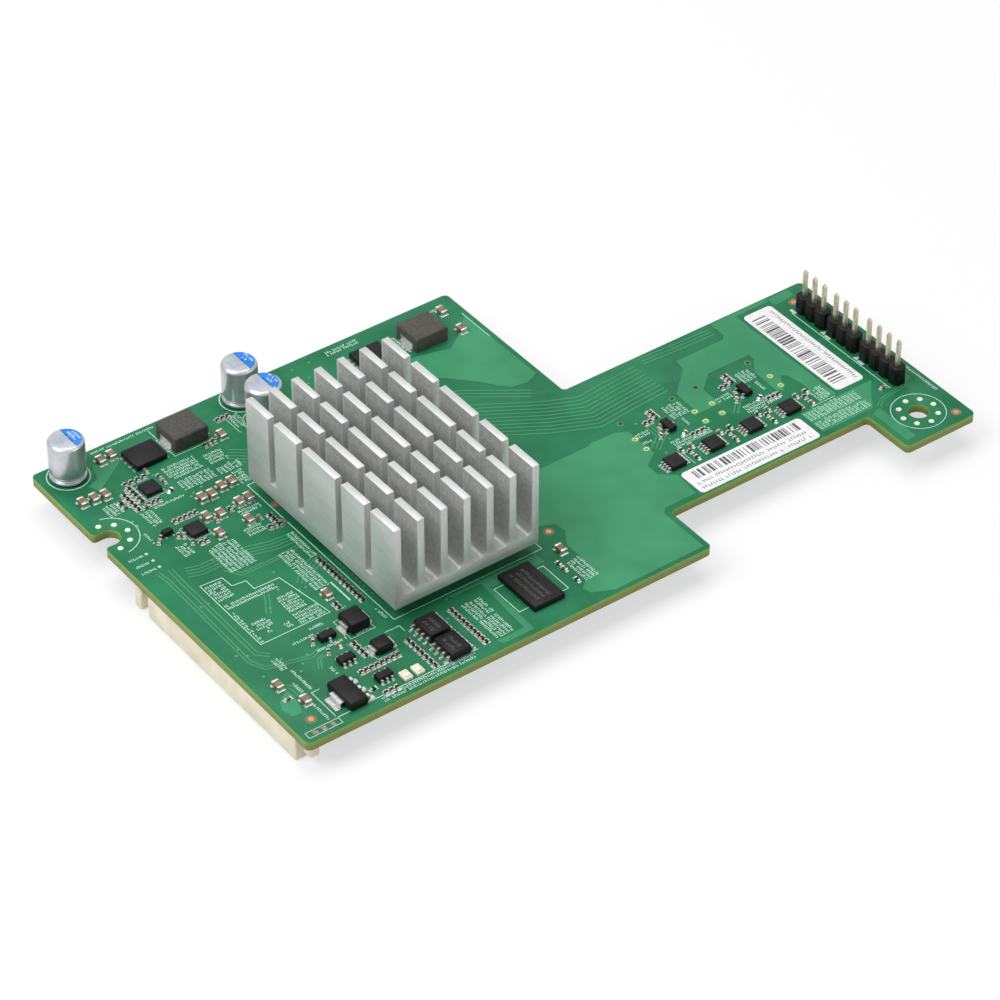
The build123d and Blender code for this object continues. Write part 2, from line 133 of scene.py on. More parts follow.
def pick_faces(piece, test):
    """Leaves a piece in edit mode with only those faces selected that pass a test."""
    choose(piece)
    bpy.ops.object.mode_set(mode="EDIT")
    bpy.ops.mesh.select_all(action="DESELECT")
    leave_edit()
    for face in piece.data.polygons:
        face.select = test(face)
    bpy.ops.object.mode_set(mode="EDIT")


def looks_up(face):
    """Whether a face is nearly level and faces up."""
    return face.normal.z > 0.9


print("board corner at", [round(v, 4) for v in spot(0, 0)])

# %% [markdown]
# The photograph was taken with a long lens from well above the near left corner. A camera fitted to
# the board's corners, pins and holes gave this place and turn, and a 150.7 mm lens on a 36 mm sensor.

# %% Camera
deselect()
bpy.ops.object.camera_add(location=(-0.32413, -0.43462, 0.44132))
camera = bpy.context.object
camera.name = "camera"
camera.rotation_euler = [math.radians(a) for a in (50.49466, -0.07567, -36.49307)]
camera.data.sensor_width = 36.0
camera.data.lens = 150.66
bpy.context.scene.camera = camera
print("camera", [round(v, 3) for v in camera.location])

# %% [markdown]
# The card stands on a pale table under large soft lamps, as in a product photograph. The background
# is white because the floor and the world show white to the camera and to mirrors only, so that no
# extra light falls on the card.

# %% Floor and light
def math_node(tree, operation, *values):
    """One step of arithmetic on sockets or plain numbers."""
    node = tree.nodes.new("ShaderNodeMath")
    node.operation = operation
    for socket, value in zip(node.inputs, values):
        if isinstance(value, float):
            socket.default_value = value
        else:
            tree.links.new(value, socket)
    return node.outputs[0]


def mix_to(output, tree, factor, first, second):
    """Sends a mix of two shaders to an output node."""
    node = tree.nodes.new("ShaderNodeMixShader")
    tree.links.new(factor, node.inputs["Fac"])
    tree.links.new(first.outputs[0], node.inputs[1])
    tree.links.new(second.outputs[0], node.inputs[2])
    tree.links.new(node.outputs[0], output.inputs["Surface"])


floor_gap = 0.0002
white_share = 0.62
deselect()
bpy.ops.mesh.primitive_plane_add(size=6.0, location=(0, 0, cad_low.z - floor_gap))
floor = bpy.context.object
floor.name = "floor"
floor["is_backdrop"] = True

paper = bpy.data.materials.new("paper_table")
paper.use_nodes = True
tree = paper.node_tree
diffuse = tree.nodes["Principled BSDF"]
diffuse.inputs["Base Color"].default_value = (0.86, 0.86, 0.86, 1)
diffuse.inputs["Roughness"].default_value = 0.9
white = tree.nodes.new("ShaderNodeEmission")
white.inputs["Strength"].default_value = 1.0
rays = tree.nodes.new("ShaderNodeLightPath").outputs
seen_share = math_node(tree, "MULTIPLY", rays["Is Camera Ray"], white_share)
mix_to(tree.nodes["Material Output"], tree, seen_share, diffuse, white)
floor.data.materials.append(paper)

world = bpy.data.worlds.new("studio")
bpy.context.scene.world = world
world.use_nodes = True
tree = world.node_tree
plain = tree.nodes["Background"]
plain.inputs["Color"].default_value = (1, 1, 1, 1)
plain.inputs["Strength"].default_value = 0.3
seen = tree.nodes.new("ShaderNodeBackground")
seen.inputs["Strength"].default_value = 1.0
rays = tree.nodes.new("ShaderNodeLightPath").outputs
direct = math_node(tree, "MAXIMUM", rays["Is Camera Ray"], rays["Is Glossy Ray"])
sees_world = math_node(tree, "MAXIMUM", direct, rays["Is Transmission Ray"])
mix_to(tree.nodes["World Output"], tree, sees_world, plain, seen)


def softbox(name, location, size, power):
    """A square lamp aimed at the middle of the card."""
    bpy.ops.object.light_add(type="AREA", location=location)
    lamp = bpy.context.object
    lamp.name = name
    lamp.data.size = size
    lamp.data.energy = power
    aim = Vector((0.0, 0.0, 0.01)) - Vector(location)
    lamp.rotation_euler = aim.to_track_quat("-Z", "Y").to_euler()


softbox("key_lamp", (-0.5, 0.1, 0.6), size=0.45, power=3.6)
softbox("top_lamp", (0.05, 0.2, 0.8), size=0.6, power=3.6)
softbox("front_lamp", (0.35, -0.7, 0.35), size=0.5, power=1.4)
bpy.context.scene.view_settings.view_transform = "Standard"

# %% [markdown]
# ## Finishes
# Every finish starts in the same way: a shader, and the piece's own coordinates in metres, so that a
# grain has its real size. Two colours are mixed by a noise, because no real surface has one flat
# colour, and a finer noise drives a small bump. Colours are given as they look on a screen, 0 to 255.

# %% Tools for finishes
SCREEN_GAMMA = 2.2


def tint(r, g, b):
    """A screen colour as the shader's linear colour."""
    return tuple((v / 255) ** SCREEN_GAMMA for v in (r, g, b)) + (1.0,)


def new_finish(name, roughness, metallic=0.0):
    """A new material with its node tree, its shader and the piece's own coordinates."""
    material = bpy.data.materials.new(name)
    material.use_nodes = True
    shader = material.node_tree.nodes["Principled BSDF"]
    shader.inputs["Roughness"].default_value = roughness
    shader.inputs["Metallic"].default_value = metallic
    coords = material.node_tree.nodes.new("ShaderNodeTexCoord")
    return material, material.node_tree, shader, coords.outputs["Object"]


def stretched(tree, place, x, y, z):
    """Coordinates scaled apart, for a grain that runs one way."""
    node = tree.nodes.new("ShaderNodeMapping")
    node.inputs["Scale"].default_value = (x, y, z)
    tree.links.new(place, node.inputs["Vector"])
    return node.outputs["Vector"]


def grain(tree, place, size_mm, detail=3.0):
    """A noise whose blotches are about size_mm across."""
    node = tree.nodes.new("ShaderNodeTexNoise")
    node.inputs["Scale"].default_value = 1.0 / (size_mm * MM)
    node.inputs["Detail"].default_value = detail
    tree.links.new(place, node.inputs["Vector"])
    return node.outputs["Fac"]


def two_tone(tree, value, dark, light, low=0.35, high=0.65):
    """A colour that runs from dark to light as a value rises from low to high."""
    node = tree.nodes.new("ShaderNodeValToRGB")
    node.color_ramp.elements[0].position = low
    node.color_ramp.elements[0].color = dark
    node.color_ramp.elements[1].position = high
    node.color_ramp.elements[1].color = light
    tree.links.new(value, node.inputs["Fac"])
    return node.outputs["Color"]


def blend(tree, value, first, second):
    """A mix of two colours, by a socket or a plain share."""
    node = tree.nodes.new("ShaderNodeMix")
    node.data_type = "RGBA"
    if isinstance(value, float):
        node.inputs["Factor"].default_value = value
    else:
        tree.links.new(value, node.inputs["Factor"])
    for colour, socket in ((first, node.inputs[6]), (second, node.inputs[7])):
        if isinstance(colour, tuple):
            socket.default_value = colour
        else:
            tree.links.new(colour, socket)
    return node.outputs[2]


def raise_by(tree, shader, value, height_mm, strength=1.0):
    """Drives a shader's bump by a value, up to a height."""
    node = tree.nodes.new("ShaderNodeBump")
    node.inputs["Distance"].default_value = height_mm * MM
    node.inputs["Strength"].default_value = strength
    tree.links.new(value, node.inputs["Height"])
    tree.links.new(node.outputs["Normal"], shader.inputs["Normal"])


def mottled(name, dark, light, blotch_mm, roughness, metallic=0.0, rough_mm=0.0, rough_size_mm=0.2):
    """A two-tone finish with a fine roughness of the surface itself."""
    material, tree, shader, place = new_finish(name, roughness, metallic)
    colour = two_tone(tree, grain(tree, place, blotch_mm), tint(*dark), tint(*light))
    tree.links.new(colour, shader.inputs["Base Color"])
    if rough_mm:
        raise_by(tree, shader, grain(tree, place, rough_size_mm, 2.0), rough_mm)
    return material


def set_sheen(material, level):
    """How much a finish mirrors at its surface."""
    material.node_tree.nodes["Principled BSDF"].inputs["Specular IOR Level"].default_value = level


print("tools ready")

# %% [markdown]
# The board is glass cloth in resin. Its two faces carry green solder mask, satin and slightly wavy
# with the weave below, and its routed edge shows the bare laminate, olive and layered, with a painted
# lime highlight along its top. One finish does both: the direction in which a face looks picks mask or
# laminate.

# %% Board finish
board_finish, tree, shader, place = new_finish("solder_mask_and_laminate", 0.42)
mask = two_tone(tree, grain(tree, place, 9.0, 4.0), tint(32, 104, 70), tint(42, 120, 83))
parts = tree.nodes.new("ShaderNodeSeparateXYZ")
tree.links.new(place, parts.inputs["Vector"])
layer = tree.nodes.new("ShaderNodeMapRange")
layer.inputs["From Min"].default_value = board_low.z
layer.inputs["From Max"].default_value = board_high.z
tree.links.new(parts.outputs["Z"], layer.inputs["Value"])
layers_and_rim_highlight = tree.nodes.new("ShaderNodeValToRGB")
stops = layers_and_rim_highlight.color_ramp.elements
stops[0].position = 0.0
stops[0].color = tint(96, 112, 52)
# The top stop, lime, is a painted highlight along the rim where the edge meets the top face; the other
# stops are the laminate's layers.
stops[1].position = 1.0
stops[1].color = tint(128, 178, 84)
inner_layers = {0.3: (128, 134, 72), 0.5: (116, 128, 62), 0.72: (140, 146, 84), 0.86: (112, 150, 66)}
for share, colour in inner_layers.items():
    stops.new(share).color = tint(*colour)
tree.links.new(layer.outputs["Result"], layers_and_rim_highlight.inputs["Fac"])
facing = tree.nodes.new("ShaderNodeNewGeometry")
upright = tree.nodes.new("ShaderNodeSeparateXYZ")
tree.links.new(facing.outputs["Normal"], upright.inputs["Vector"])
is_face = math_node(tree, "GREATER_THAN", math_node(tree, "ABSOLUTE", upright.outputs["Z"]), 0.8)
tree.links.new(blend(tree, is_face, layers_and_rim_highlight.outputs["Color"], mask), shader.inputs["Base Color"])
weave = stretched(tree, place, 1.0, 1.0, 0.05)
raise_by(tree, shader, grain(tree, weave, 0.6, 2.0), 0.012)
mask_sheen = 0.18
set_sheen(board_finish, mask_sheen)
print("made", board_finish.name)

# %% [markdown]
# The heat sink is extruded along its fins and then sawn across. The die leaves faint lines along the
# fins, so its grain is stretched that way, and the metal is matte, not a mirror.

# %% Heat sink finish
sink_finish, tree, shader, place = new_finish("extruded_aluminium", 0.5, 0.55)
lines = grain(tree, stretched(tree, place, 1.0, 0.03, 1.0), 0.35, 4.0)
cloud = grain(tree, place, 6.0, 3.0)
streaks = two_tone(tree, lines, tint(184, 188, 185), tint(207, 210, 207), 0.3, 0.7)
clouds = two_tone(tree, cloud, tint(186, 190, 187), tint(205, 208, 205))
tree.links.new(blend(tree, 0.5, streaks, clouds), shader.inputs["Base Color"])
raise_by(tree, shader, lines, 0.01, 0.6)
print("made", sink_finish.name)

# %% [markdown]
# The other finishes are plainer: black moulding compound with a fine matte grain, tinned leads, gold
# pins, cream connector plastic, pressed ferrite, ceramic bodies and label paper. Each line gives the
# dark and the light tone, the blotch in millimetres, roughness, metallic, and the height and the size
# of the surface's grain in millimetres.

# %% Plain finishes
finishes = {
    "board_laminate": board_finish,
    "sink_metal": sink_finish,
    "thermal_pad": mottled("thermal_pad_grey", (120, 124, 128), (140, 143, 146), 1.5, 0.85, 0.0, 0.01),
    "chip_mould": mottled("moulding_compound", (17, 18, 17), (28, 29, 27), 0.8, 0.48, 0.0, 0.006, 0.12),
    "chip_substrate": mottled("package_substrate", (40, 96, 62), (52, 112, 74), 2.0, 0.4, 0.0, 0.004),
    "can_metal": mottled("drawn_aluminium", (180, 184, 188), (202, 205, 209), 3.0, 0.3, 0.75, 0.002, 0.4),
    "can_bung": mottled("bung_rubber", (26, 26, 26), (38, 38, 38), 0.6, 0.8, 0.0, 0.01),
    "tinned_metal": mottled("tinned_lead", (186, 188, 188), (222, 223, 220), 0.5, 0.28, 0.9, 0.004, 0.15),
    "inductor_core": mottled("pressed_ferrite", (74, 72, 68), (88, 85, 81), 0.5, 0.75, 0.0, 0.008, 0.15),
    "lamp_body": mottled("lamp_plastic", (226, 226, 214), (240, 240, 230), 0.8, 0.35, 0.0, 0.002),
    "lamp_lens": mottled("lamp_resin", (224, 216, 168), (240, 236, 206), 0.5, 0.15, 0.0, 0.002),
    "ceramic_tan": mottled("ceramic_body", (104, 84, 60), (142, 118, 84), 0.7, 0.4, 0.0, 0.004),
    "solder_ends": mottled("solder", (198, 198, 196), (236, 236, 232), 0.35, 0.22, 0.85, 0.01),
    "resistor_film": mottled("resistor_film", (34, 33, 34), (56, 52, 50), 0.3, 0.35, 0.0, 0.003, 0.1),
    "header_plastic": mottled("header_moulding", (12, 13, 12), (26, 27, 26), 0.7, 0.42, 0.0, 0.008, 0.15),
    "gold_metal": mottled("gold_plating", (196, 186, 160), (214, 206, 184), 0.6, 0.28, 0.85, 0.003),
    "connector_plastic": mottled(
        "cream_moulding", (214, 206, 182), (226, 219, 197), 3.0, 0.5, 0.0, 0.006, 0.3),
    "label_paper": mottled("label_paper", (222, 222, 223), (234, 234, 235), 1.2, 0.6, 0.0, 0.004),
}
dark_sheen = 0.22
for slot_name in ("chip_mould", "inductor_core", "header_plastic", "resistor_film"):
    set_sheen(finishes[slot_name], dark_sheen)
print("finishes:", len(finishes))

# %% [markdown]
# ## Edges that catch light
# A CAD edge is perfectly sharp and shows no glint. A copy of each larger solid has its loose triangles
# merged, its flat faces joined and its edges bevelled by a tenth of a millimetre or so. The copy stands
# for the solid, inside the solid's own size.

# %% Softened copies of the solids
slot_of = {entry["node"]: entry["material_slot"] for entry in frame["record"]["subparts"]}
MERGE_MM = 0.002
FLAT_ANGLE, EDGE_ANGLE, SMOOTH_ANGLE = (math.radians(angle) for angle in (1.5, 35, 40))


def keep(piece, slot_name, finish=None):
    """Gives a piece its finish, by default the finish of its slot, and fixes it to the card."""
    piece.data.materials.clear()
    piece.data.materials.append(finish or finishes[slot_name])
    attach(piece, "root")


def soften(node, width_mm, segments=2):
    """A copy of a solid with bevelled edges, which takes the solid's place."""
    piece = bpy.data.objects.new("soft_" + node, frame["nodes"][node].data.copy())
    bpy.context.scene.collection.objects.link(piece)
    edit_whole(piece)
    bpy.ops.mesh.remove_doubles(threshold=MERGE_MM * MM)
    bpy.ops.mesh.dissolve_limited(angle_limit=FLAT_ANGLE)
    leave_edit()
    bevel = piece.modifiers.new("edge", "BEVEL")
    bevel.width = width_mm * MM
    bevel.segments = segments
    bevel.limit_method = "ANGLE"
    bevel.angle_limit = EDGE_ANGLE
    bpy.ops.object.modifier_apply(modifier=bevel.name)
    bpy.ops.object.shade_smooth_by_angle(angle=SMOOTH_ANGLE)
    keep(piece, slot_of[node])
    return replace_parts(piece, node)


edge_widths = {
    "heat_sink": 0.09, "circuit_board": 0.14, "capacitor_can": 0.16, "inductor": 0.1, "power_switch": 0.05,
    "memory_chip": 0.05, "driver_chip": 0.05, "port_chip": 0.05, "square_chip": 0.05, "regulator": 0.06,
    "rectifier": 0.06, "header_housing": 0.08, "connector_housing": 0.12, "ceramic_capacitors": 0.07,
    "ceramic_capacitor_ends": 0.08, "status_lamps": 0.06, "status_lenses": 0.08,
}
softened = []
for node in sorted(frame["nodes"]):
    stem = node.rstrip("0123456789").rstrip("_")
    if stem in edge_widths:
        softened.append(soften(node, edge_widths[stem], 3 if stem == "capacitor_can" else 2))
for node, solid in frame["nodes"].items():
    solid.data.materials.clear()
    solid.data.materials.append(finishes[slot_of[node]])
print("softened:", len(softened), "faces:", sum(len(piece.data.polygons) for piece in softened))

# %% [markdown]
# The sides between the fins are painted a little darker than their rims, as painted shade between the fins.
# Each side is inset by a narrow rim, and the face inside the rim takes its own darker finish.

# %% Fin sides
# Painted shade: the faces between the fins get a darker grey than the sink metal.
painted_shade_fin_sides = mottled("painted_shade_fin_sides", (174, 176, 172), (196, 198, 193), 0.7, 0.62, 0.4, 0.02, 0.25)
fin_rim_mm, flank_mm, least_side_mm = 0.42, 0.4, 3.0
sink_piece = bpy.data.objects["soft_heat_sink"]
flank_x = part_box("heat_sink")[0].x
sink_piece.data.materials.append(painted_shade_fin_sides)


def is_fin_side(face):
    """Whether a face is a large one across the fins, and not the sink's left flank."""
    inner = abs(face.normal.x) > 0.99 and abs(face.center.x - flank_x) > flank_mm * MM
    return inner and face.area > (least_side_mm * MM) ** 2


pick_faces(sink_piece, is_fin_side)
bpy.ops.mesh.inset(thickness=fin_rim_mm * MM, use_individual=True)
bpy.context.object.active_material_index = 1
bpy.ops.object.material_slot_assign()
leave_edit()
print("fin sides:", sum(face.material_index == 1 for face in sink_piece.data.polygons))

# %% [markdown]
# ## Copper under the mask
# Where copper lies under the mask, the board is a little higher and a lighter green. Broad copper pours
# are drawn as flat outlines, filled and given the copper's thickness. Working from an outline, like the
# layout program does, keeps each corner a real corner.

# %% Flat outlines
copper_mm = 0.03
CURVE_MERGE_MM = 0.001
mask_finish = mottled("mask_over_copper", (56, 130, 92), (66, 142, 102), 9.0, 0.42, 0.0, 0.004, 0.6)
set_sheen(mask_finish, mask_sheen)


def drawn(name, outlines, thick_mm, z_mm=0.0):
    """Closed outlines in board millimetres as one flat mesh of a thickness."""
    curve = bpy.data.curves.new(name, "CURVE")
    curve.dimensions = "2D"
    for outline in outlines:
        line = curve.splines.new("POLY")
        line.points.add(len(outline) - 1)
        for point, (x, y) in zip(line.points, outline):
            place = spot(x, y)
            point.co = (place.x, place.y, 0.0, 1.0)
        line.use_cyclic_u = True
    curve.fill_mode = "BOTH"
    curve.extrude = thick_mm * MM / 2
    piece = bpy.data.objects.new(name, curve)
    bpy.context.scene.collection.objects.link(piece)
    choose(piece)
    bpy.ops.object.convert(target="MESH")
    piece = bpy.context.object
    piece.location.z = spot(0, 0, z_mm + thick_mm / 2).z
    bpy.ops.object.transform_apply(location=True, rotation=False, scale=True)
    edit_whole(piece)
    bpy.ops.mesh.remove_doubles(threshold=CURVE_MERGE_MM * MM)
    bpy.ops.mesh.normals_make_consistent(inside=False)
    leave_edit()
    return piece


pour_outlines = [
    [(70.0, 69.2), (76.0, 67.6), (79.8, 70.2), (83.4, 73.8), (83.6, 53.4), (81.0, 52.2), (77.8, 52.8),
     (74.2, 57.4), (69.8, 62.0), (60.2, 62.0), (60.2, 69.2)],
    [(57.8, 32.4), (78.6, 32.4), (79.6, 32.8), (84.4, 32.6), (86.4, 31.6), (86.4, 24.6), (83.4, 22.4),
     (83.4, 19.8), (86.0, 17.6), (85.4, 12.2), (79.0, 12.2), (78.0, 11.2), (78.0, 0.9), (60.0, 0.9),
     (56.4, 2.6), (56.0, 4.2), (60.4, 8.2), (60.4, 14.2), (62.4, 17.4), (62.0, 19.6), (57.8, 21.4)],
    [(115.9, 46.6), (115.9, 42.8), (115.0, 41.9), (104.8, 41.9), (104.3, 39.4), (99.2, 34.8), (98.9, 28.4),
     (103.4, 28.4), (103.6, 33.0), (107.0, 35.9), (115.8, 35.9), (115.8, 34.6), (113.6, 31.6),
     (113.4, 25.4), (114.4, 24.8), (116.6, 28.3), (117.5, 27.6), (118.0, 24.9), (118.0, 18.8),
     (120.9, 18.8), (120.9, 45.7), (128.2, 45.7), (128.2, 46.6)],
    [(112.6, 12.2), (112.6, 18.2), (128.2, 18.2), (125.6, 15.2), (123.4, 12.2)],
    [(122.4, 2.2), (122.4, 10.8), (123.4, 11.4), (124.4, 11.4), (124.4, 2.2)],
    [(7.2, 70.6), (14.0, 75.2), (14.0, 77.0), (9.6, 76.8), (8.4, 73.4), (6.2, 72.6)],
    [(1.6, 6.6), (1.2, 8.8), (2.0, 10.6), (4.3, 12.2), (4.6, 10.6), (4.0, 8.2), (3.4, 6.6)],
    [(38.2, 1.0), (37.4, 2.2), (42.8, 2.2), (43.6, 14.8), (38.2, 14.8), (36.8, 15.4), (55.0, 15.4),
     (55.0, 13.0), (44.2, 13.0), (44.0, 1.0)],
    [(128.4, 44.2), (128.4, 46.4), (133.0, 46.4), (133.0, 44.6), (130.4, 44.2)],
]
pours = drawn("copper_pours", pour_outlines, copper_mm)
keep(pours, "board_laminate", mask_finish)
print("pours:", len(pour_outlines), "faces:", len(pours.data.polygons))

# %% [markdown]
# Signals run in bundles of parallel tracks that turn corners together. Each bundle has one path, a
# number of tracks and their spacing in millimetres. The tracks' two edges are offset from the path,
# mitred at each corner, so that the spacing and the width hold all along.

# %% Track bundles
TRACK_MM, SAME_POINT_MM, SHARPEST_MITRE = 0.24, 0.000001, 0.5


def offset_path(path, shift):
    """A path moved sideways with mitred corners, and whether it is closed by ending where it starts."""
    points = [Vector(p) for p in path]
    closed = (points[0] - points[-1]).length < SAME_POINT_MM
    ring = points[:-1] if closed else points
    moved = []
    for i, point in enumerate(ring):
        before = ring[i - 1] if (i or closed) else None
        after = ring[(i + 1) % len(ring)] if (i + 1 < len(ring) or closed) else None
        into = (point - before).normalized() if before is not None else (after - point).normalized()
        out = (after - point).normalized() if after is not None else into
        side = Vector((-into.y - out.y, into.x + out.x)).normalized()
        stretch = max(SHARPEST_MITRE, side.dot(Vector((-into.y, into.x))))
        moved.append(tuple(point + side * shift / stretch))
    return moved, closed


def ribbon(path, width_mm, shift=0.0):
    """The outlines of a track of a width that follows a path: one, or two round a closed path."""
    left, closed = offset_path(path, shift + width_mm / 2)
    right, _ = offset_path(path, shift - width_mm / 2)
    return [left, right] if closed else [left + right[::-1]]


def tracks_of(bundles):
    """The outlines of bundles of parallel tracks, each bundle spread evenly about its path."""
    shifts = [(path, (k - (count - 1) / 2) * pitch) for path, count, pitch in bundles for k in range(count)]
    return sum([ribbon(path, TRACK_MM, shift) for path, shift in shifts], [])


bundles = [
    ([(58.6, 53.6), (69.0, 48.2), (78.0, 42.6), (84.5, 39.6), (91.0, 40.2), (98.4, 40.7)], 10, 0.95),
    ([(57.8, 59.4), (70.0, 56.4), (79.6, 49.4)], 3, 0.9),
    ([(99.8, 45.4), (108.6, 44.9), (114.8, 44.8)], 3, 0.8),
    ([(3.4, 47.6), (3.8, 45.0), (3.4, 21.1), (4.6, 18.4), (12.1, 16.4), (14.1, 17.2)], 2, 0.6),
    ([(5.6, 47.2), (5.4, 44.0), (5.3, 22.1), (6.9, 20.5)], 2, 0.7),
    ([(7.2, 44.9), (9.2, 44.2), (16.4, 44.0), (22.4, 42.3), (27.0, 42.0)], 4, 0.75),
    ([(12.6, 42.0), (14.2, 39.4), (19.7, 39.3), (27.0, 39.9)], 2, 0.6),
    ([(20.8, 31.6), (23.2, 34.0), (27.0, 35.8)], 4, 0.7),
    ([(12.2, 28.8), (13.8, 31.4), (14.6, 33.0)], 2, 0.7),
    ([(3.6, 14.4), (5.4, 12.2), (5.4, 9.6)], 2, 0.6),
    ([(29.0, 66.0), (34.0, 62.0), (46.0, 62.0), (57.4, 62.2)], 5, 0.8),
    ([(42.0, 58.6), (48.0, 59.6), (57.2, 59.6)], 1, 0.6),
    ([(124.6, 12.0), (126.4, 13.2), (131.6, 13.8), (133.6, 15.4), (133.6, 41.0)], 2, 0.5),
    ([(87.2, 25.2), (90.2, 27.4), (90.2, 31.0)], 3, 0.7),
    ([(104.0, 24.8), (106.8, 27.4), (106.8, 31.4)], 2, 0.7),
    ([(11.4, 13.2), (12.6, 15.2), (13.8, 15.6)], 2, 0.5),
    ([(20.0, 74.6), (22.6, 72.0), (27.0, 70.6)], 2, 0.8),
]
tracks = drawn("signal_tracks", tracks_of(bundles), copper_mm)
track_finish = mottled("mask_over_tracks", (50, 126, 88), (58, 136, 96), 9.0, 0.42, 0.0, 0.004, 0.6)
keep(tracks, "board_laminate", track_finish)
print("tracks:", sum(count for _, count, _ in bundles), "faces:", len(tracks.data.polygons))

# %% [markdown]
# ## Solder, pads and vias
# Small repeated things are modelled once and copied, each copy with its own mesh, then joined into one
# piece. A pad is a thin plate with eased edges. Every chip end and lead foot stands on one, a little
# larger than itself, so each part gets its bright solder rim.

# %% Copies of one model
def model_plate(name, length_mm, width_mm, thick_mm, bevel_mm=0.0):
    """A thin plate lying on the board's corner, long side along X."""
    deselect()
    bpy.ops.mesh.primitive_cube_add(size=1.0)
    plate = bpy.context.object
    plate.name = name
    plate.scale = (length_mm * MM, width_mm * MM, thick_mm * MM)
    plate.location = (0, 0, thick_mm * MM / 2)
    bpy.ops.object.transform_apply(location=True, rotation=False, scale=True)
    if bevel_mm:
        edit_whole(plate)
        bpy.ops.mesh.bevel(offset=bevel_mm * MM, segments=1)
        leave_edit()
    return plate


def at(x, y, z=0.0, turn=0.0, long_share=1.0, wide_share=1.0):
    """One place for a copy: board millimetres, a turn in degrees and a stretch along each side."""
    return x, y, z, turn, long_share, wide_share


def scatter(model, places):
    """Copies of a model, one at each place, joined in one piece."""
    name = model.name
    copies = []
    for x, y, z, turn, long_share, wide_share in places:
        copy = bpy.data.objects.new(name + "_copy", model.data.copy())
        bpy.context.scene.collection.objects.link(copy)
        turned = Matrix.Rotation(math.radians(turn), 4, "Z")
        stretch = Matrix.Diagonal((long_share, wide_share, 1.0, 1.0))
        copy.data.transform(Matrix.Translation(spot(x, y, z)) @ turned @ stretch)
        copies.append(copy)
    deselect()
    for copy in copies:
        copy.select_set(True)
    bpy.context.view_layer.objects.active = copies[0]
    if len(copies) > 1:
        bpy.ops.object.join()
    joined = bpy.context.object
    bpy.data.objects.remove(model, do_unlink=True)
    joined.name = name
    return joined


def islands(node):
    """Centre and size in millimetres of each separate solid in a node."""
    mesh = frame["nodes"][node].data
    parent = list(range(len(mesh.vertices)))
    corners = {}
    for v in mesh.vertices:
        corners.setdefault(tuple(round(c, 6) for c in v.co), v.index)
    same = [corners[tuple(round(c, 6) for c in v.co)] for v in mesh.vertices]

    def root(i):
        while parent[i] != i:
            parent[i] = parent[parent[i]]
            i = parent[i]
        return i

    for face in mesh.polygons:
        first = root(same[face.vertices[0]])
        for i in face.vertices[1:]:
            parent[root(same[i])] = first
    boxes = {}
    for v in mesh.vertices:
        key = root(same[v.index])
        low, high = boxes.setdefault(key, (v.co.copy(), v.co.copy()))
        for axis in range(3):
            low[axis] = min(low[axis], v.co[axis])
            high[axis] = max(high[axis], v.co[axis])
    return [((low + high) / 2, (high - low) / MM) for low, high in boxes.values()]


print("ceramic bodies:", len(islands("ceramic_capacitors")))

# %% [markdown]
# The pads are placed from the solids themselves: each metal end or lead is measured, and a pad that is
# larger by a solder rim is laid under it.

# %% Solder pads
rim, pad_mm, eased_mm = 0.16, 0.05, 0.02
pad_places = []
for node in ("chip_resistor_ends", "ceramic_capacitor_ends"):
    for centre, size in islands(node):
        pad_places.append(at(*board_place(centre), 0.0, 0.0, size.x + 2 * rim, size.y + 2 * rim))
lead_nodes = [node for node in sorted(frame["nodes"]) if "leads" in node and "capacitor" not in node]
for node in lead_nodes + ["power_switch_pads"]:
    for centre, size in islands(node):
        pad_places.append(at(*board_place(centre), 0.0, 0.0, size.x + rim, size.y + rim))
inductor_pad_wide = 3.9
for node in ("inductor_terminals_1", "inductor_terminals_2"):
    low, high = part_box(node)
    pad_places.append(at(*middle_of(node), 0.0, 0.0, (high.x - low.x) / MM + 1.4 * rim, inductor_pad_wide))
square_pitch, square_reach, square_pad = 0.65, 1.55, (0.55, 0.3)
for node in ("square_chip_1", "square_chip_2"):
    x, y = middle_of(node)
    for k in range(4):
        step = (k - 1.5) * square_pitch
        for side in (square_reach, -square_reach):
            pad_places.append(at(x + side, y + step, 0.0, 0.0, *square_pad))
            pad_places.append(at(x + step, y + side, 0.0, 0.0, *square_pad[::-1]))
solder_pads = scatter(model_plate("solder_pads", 1.0, 1.0, pad_mm, eased_mm), pad_places)
keep(solder_pads, "solder_ends")
print("pads:", len(pad_places))

# %% [markdown]
# A via is a plated hole. Bare ones show a bright ring with a dark middle, and those under the mask are
# only small green rings. The ring is a disc whose top is drawn in a little, so that its flank slopes, and
# inset once, with the middle pushed down into the hole.

# %% Vias and test points
DRAWN_IN, PUSHED_DOWN = 0.93, 0.8


def model_ring(name, radius_mm, bore_mm, thick_mm, sides=12):
    """A round pad with a sloped flank and, where a bore is given, a shallow hole in its middle."""
    deselect()
    bpy.ops.mesh.primitive_cylinder_add(
        vertices=sides, radius=radius_mm * MM, depth=thick_mm * MM, location=(0, 0, thick_mm * MM / 2))
    ring = bpy.context.object
    ring.name = name
    bpy.ops.object.transform_apply(location=True, rotation=False, scale=False)
    pick_faces(ring, looks_up)
    bpy.ops.transform.resize(value=(DRAWN_IN, DRAWN_IN, 1.0))
    if bore_mm:
        bpy.ops.mesh.inset(thickness=(radius_mm * DRAWN_IN - bore_mm) * MM)
        bpy.ops.transform.translate(value=(0, 0, -thick_mm * PUSHED_DOWN * MM))
    leave_edit()
    return ring


def keep_rings(name, places, size, sides, slot_name, finish=None, z=0.0):
    """Round pads of one radius, bore and thickness at many places, kept as one piece."""
    rings = scatter(model_ring(name, *size, sides), [at(x, y, z) for x, y in places])
    keep(rings, slot_name, finish)


def on_circle(x, y, radius, count):
    """Places spread evenly round a circle."""
    angles = [math.radians(k * 360 / count) for k in range(count)]
    return [(x + radius * math.cos(a), y + radius * math.sin(a)) for a in angles]


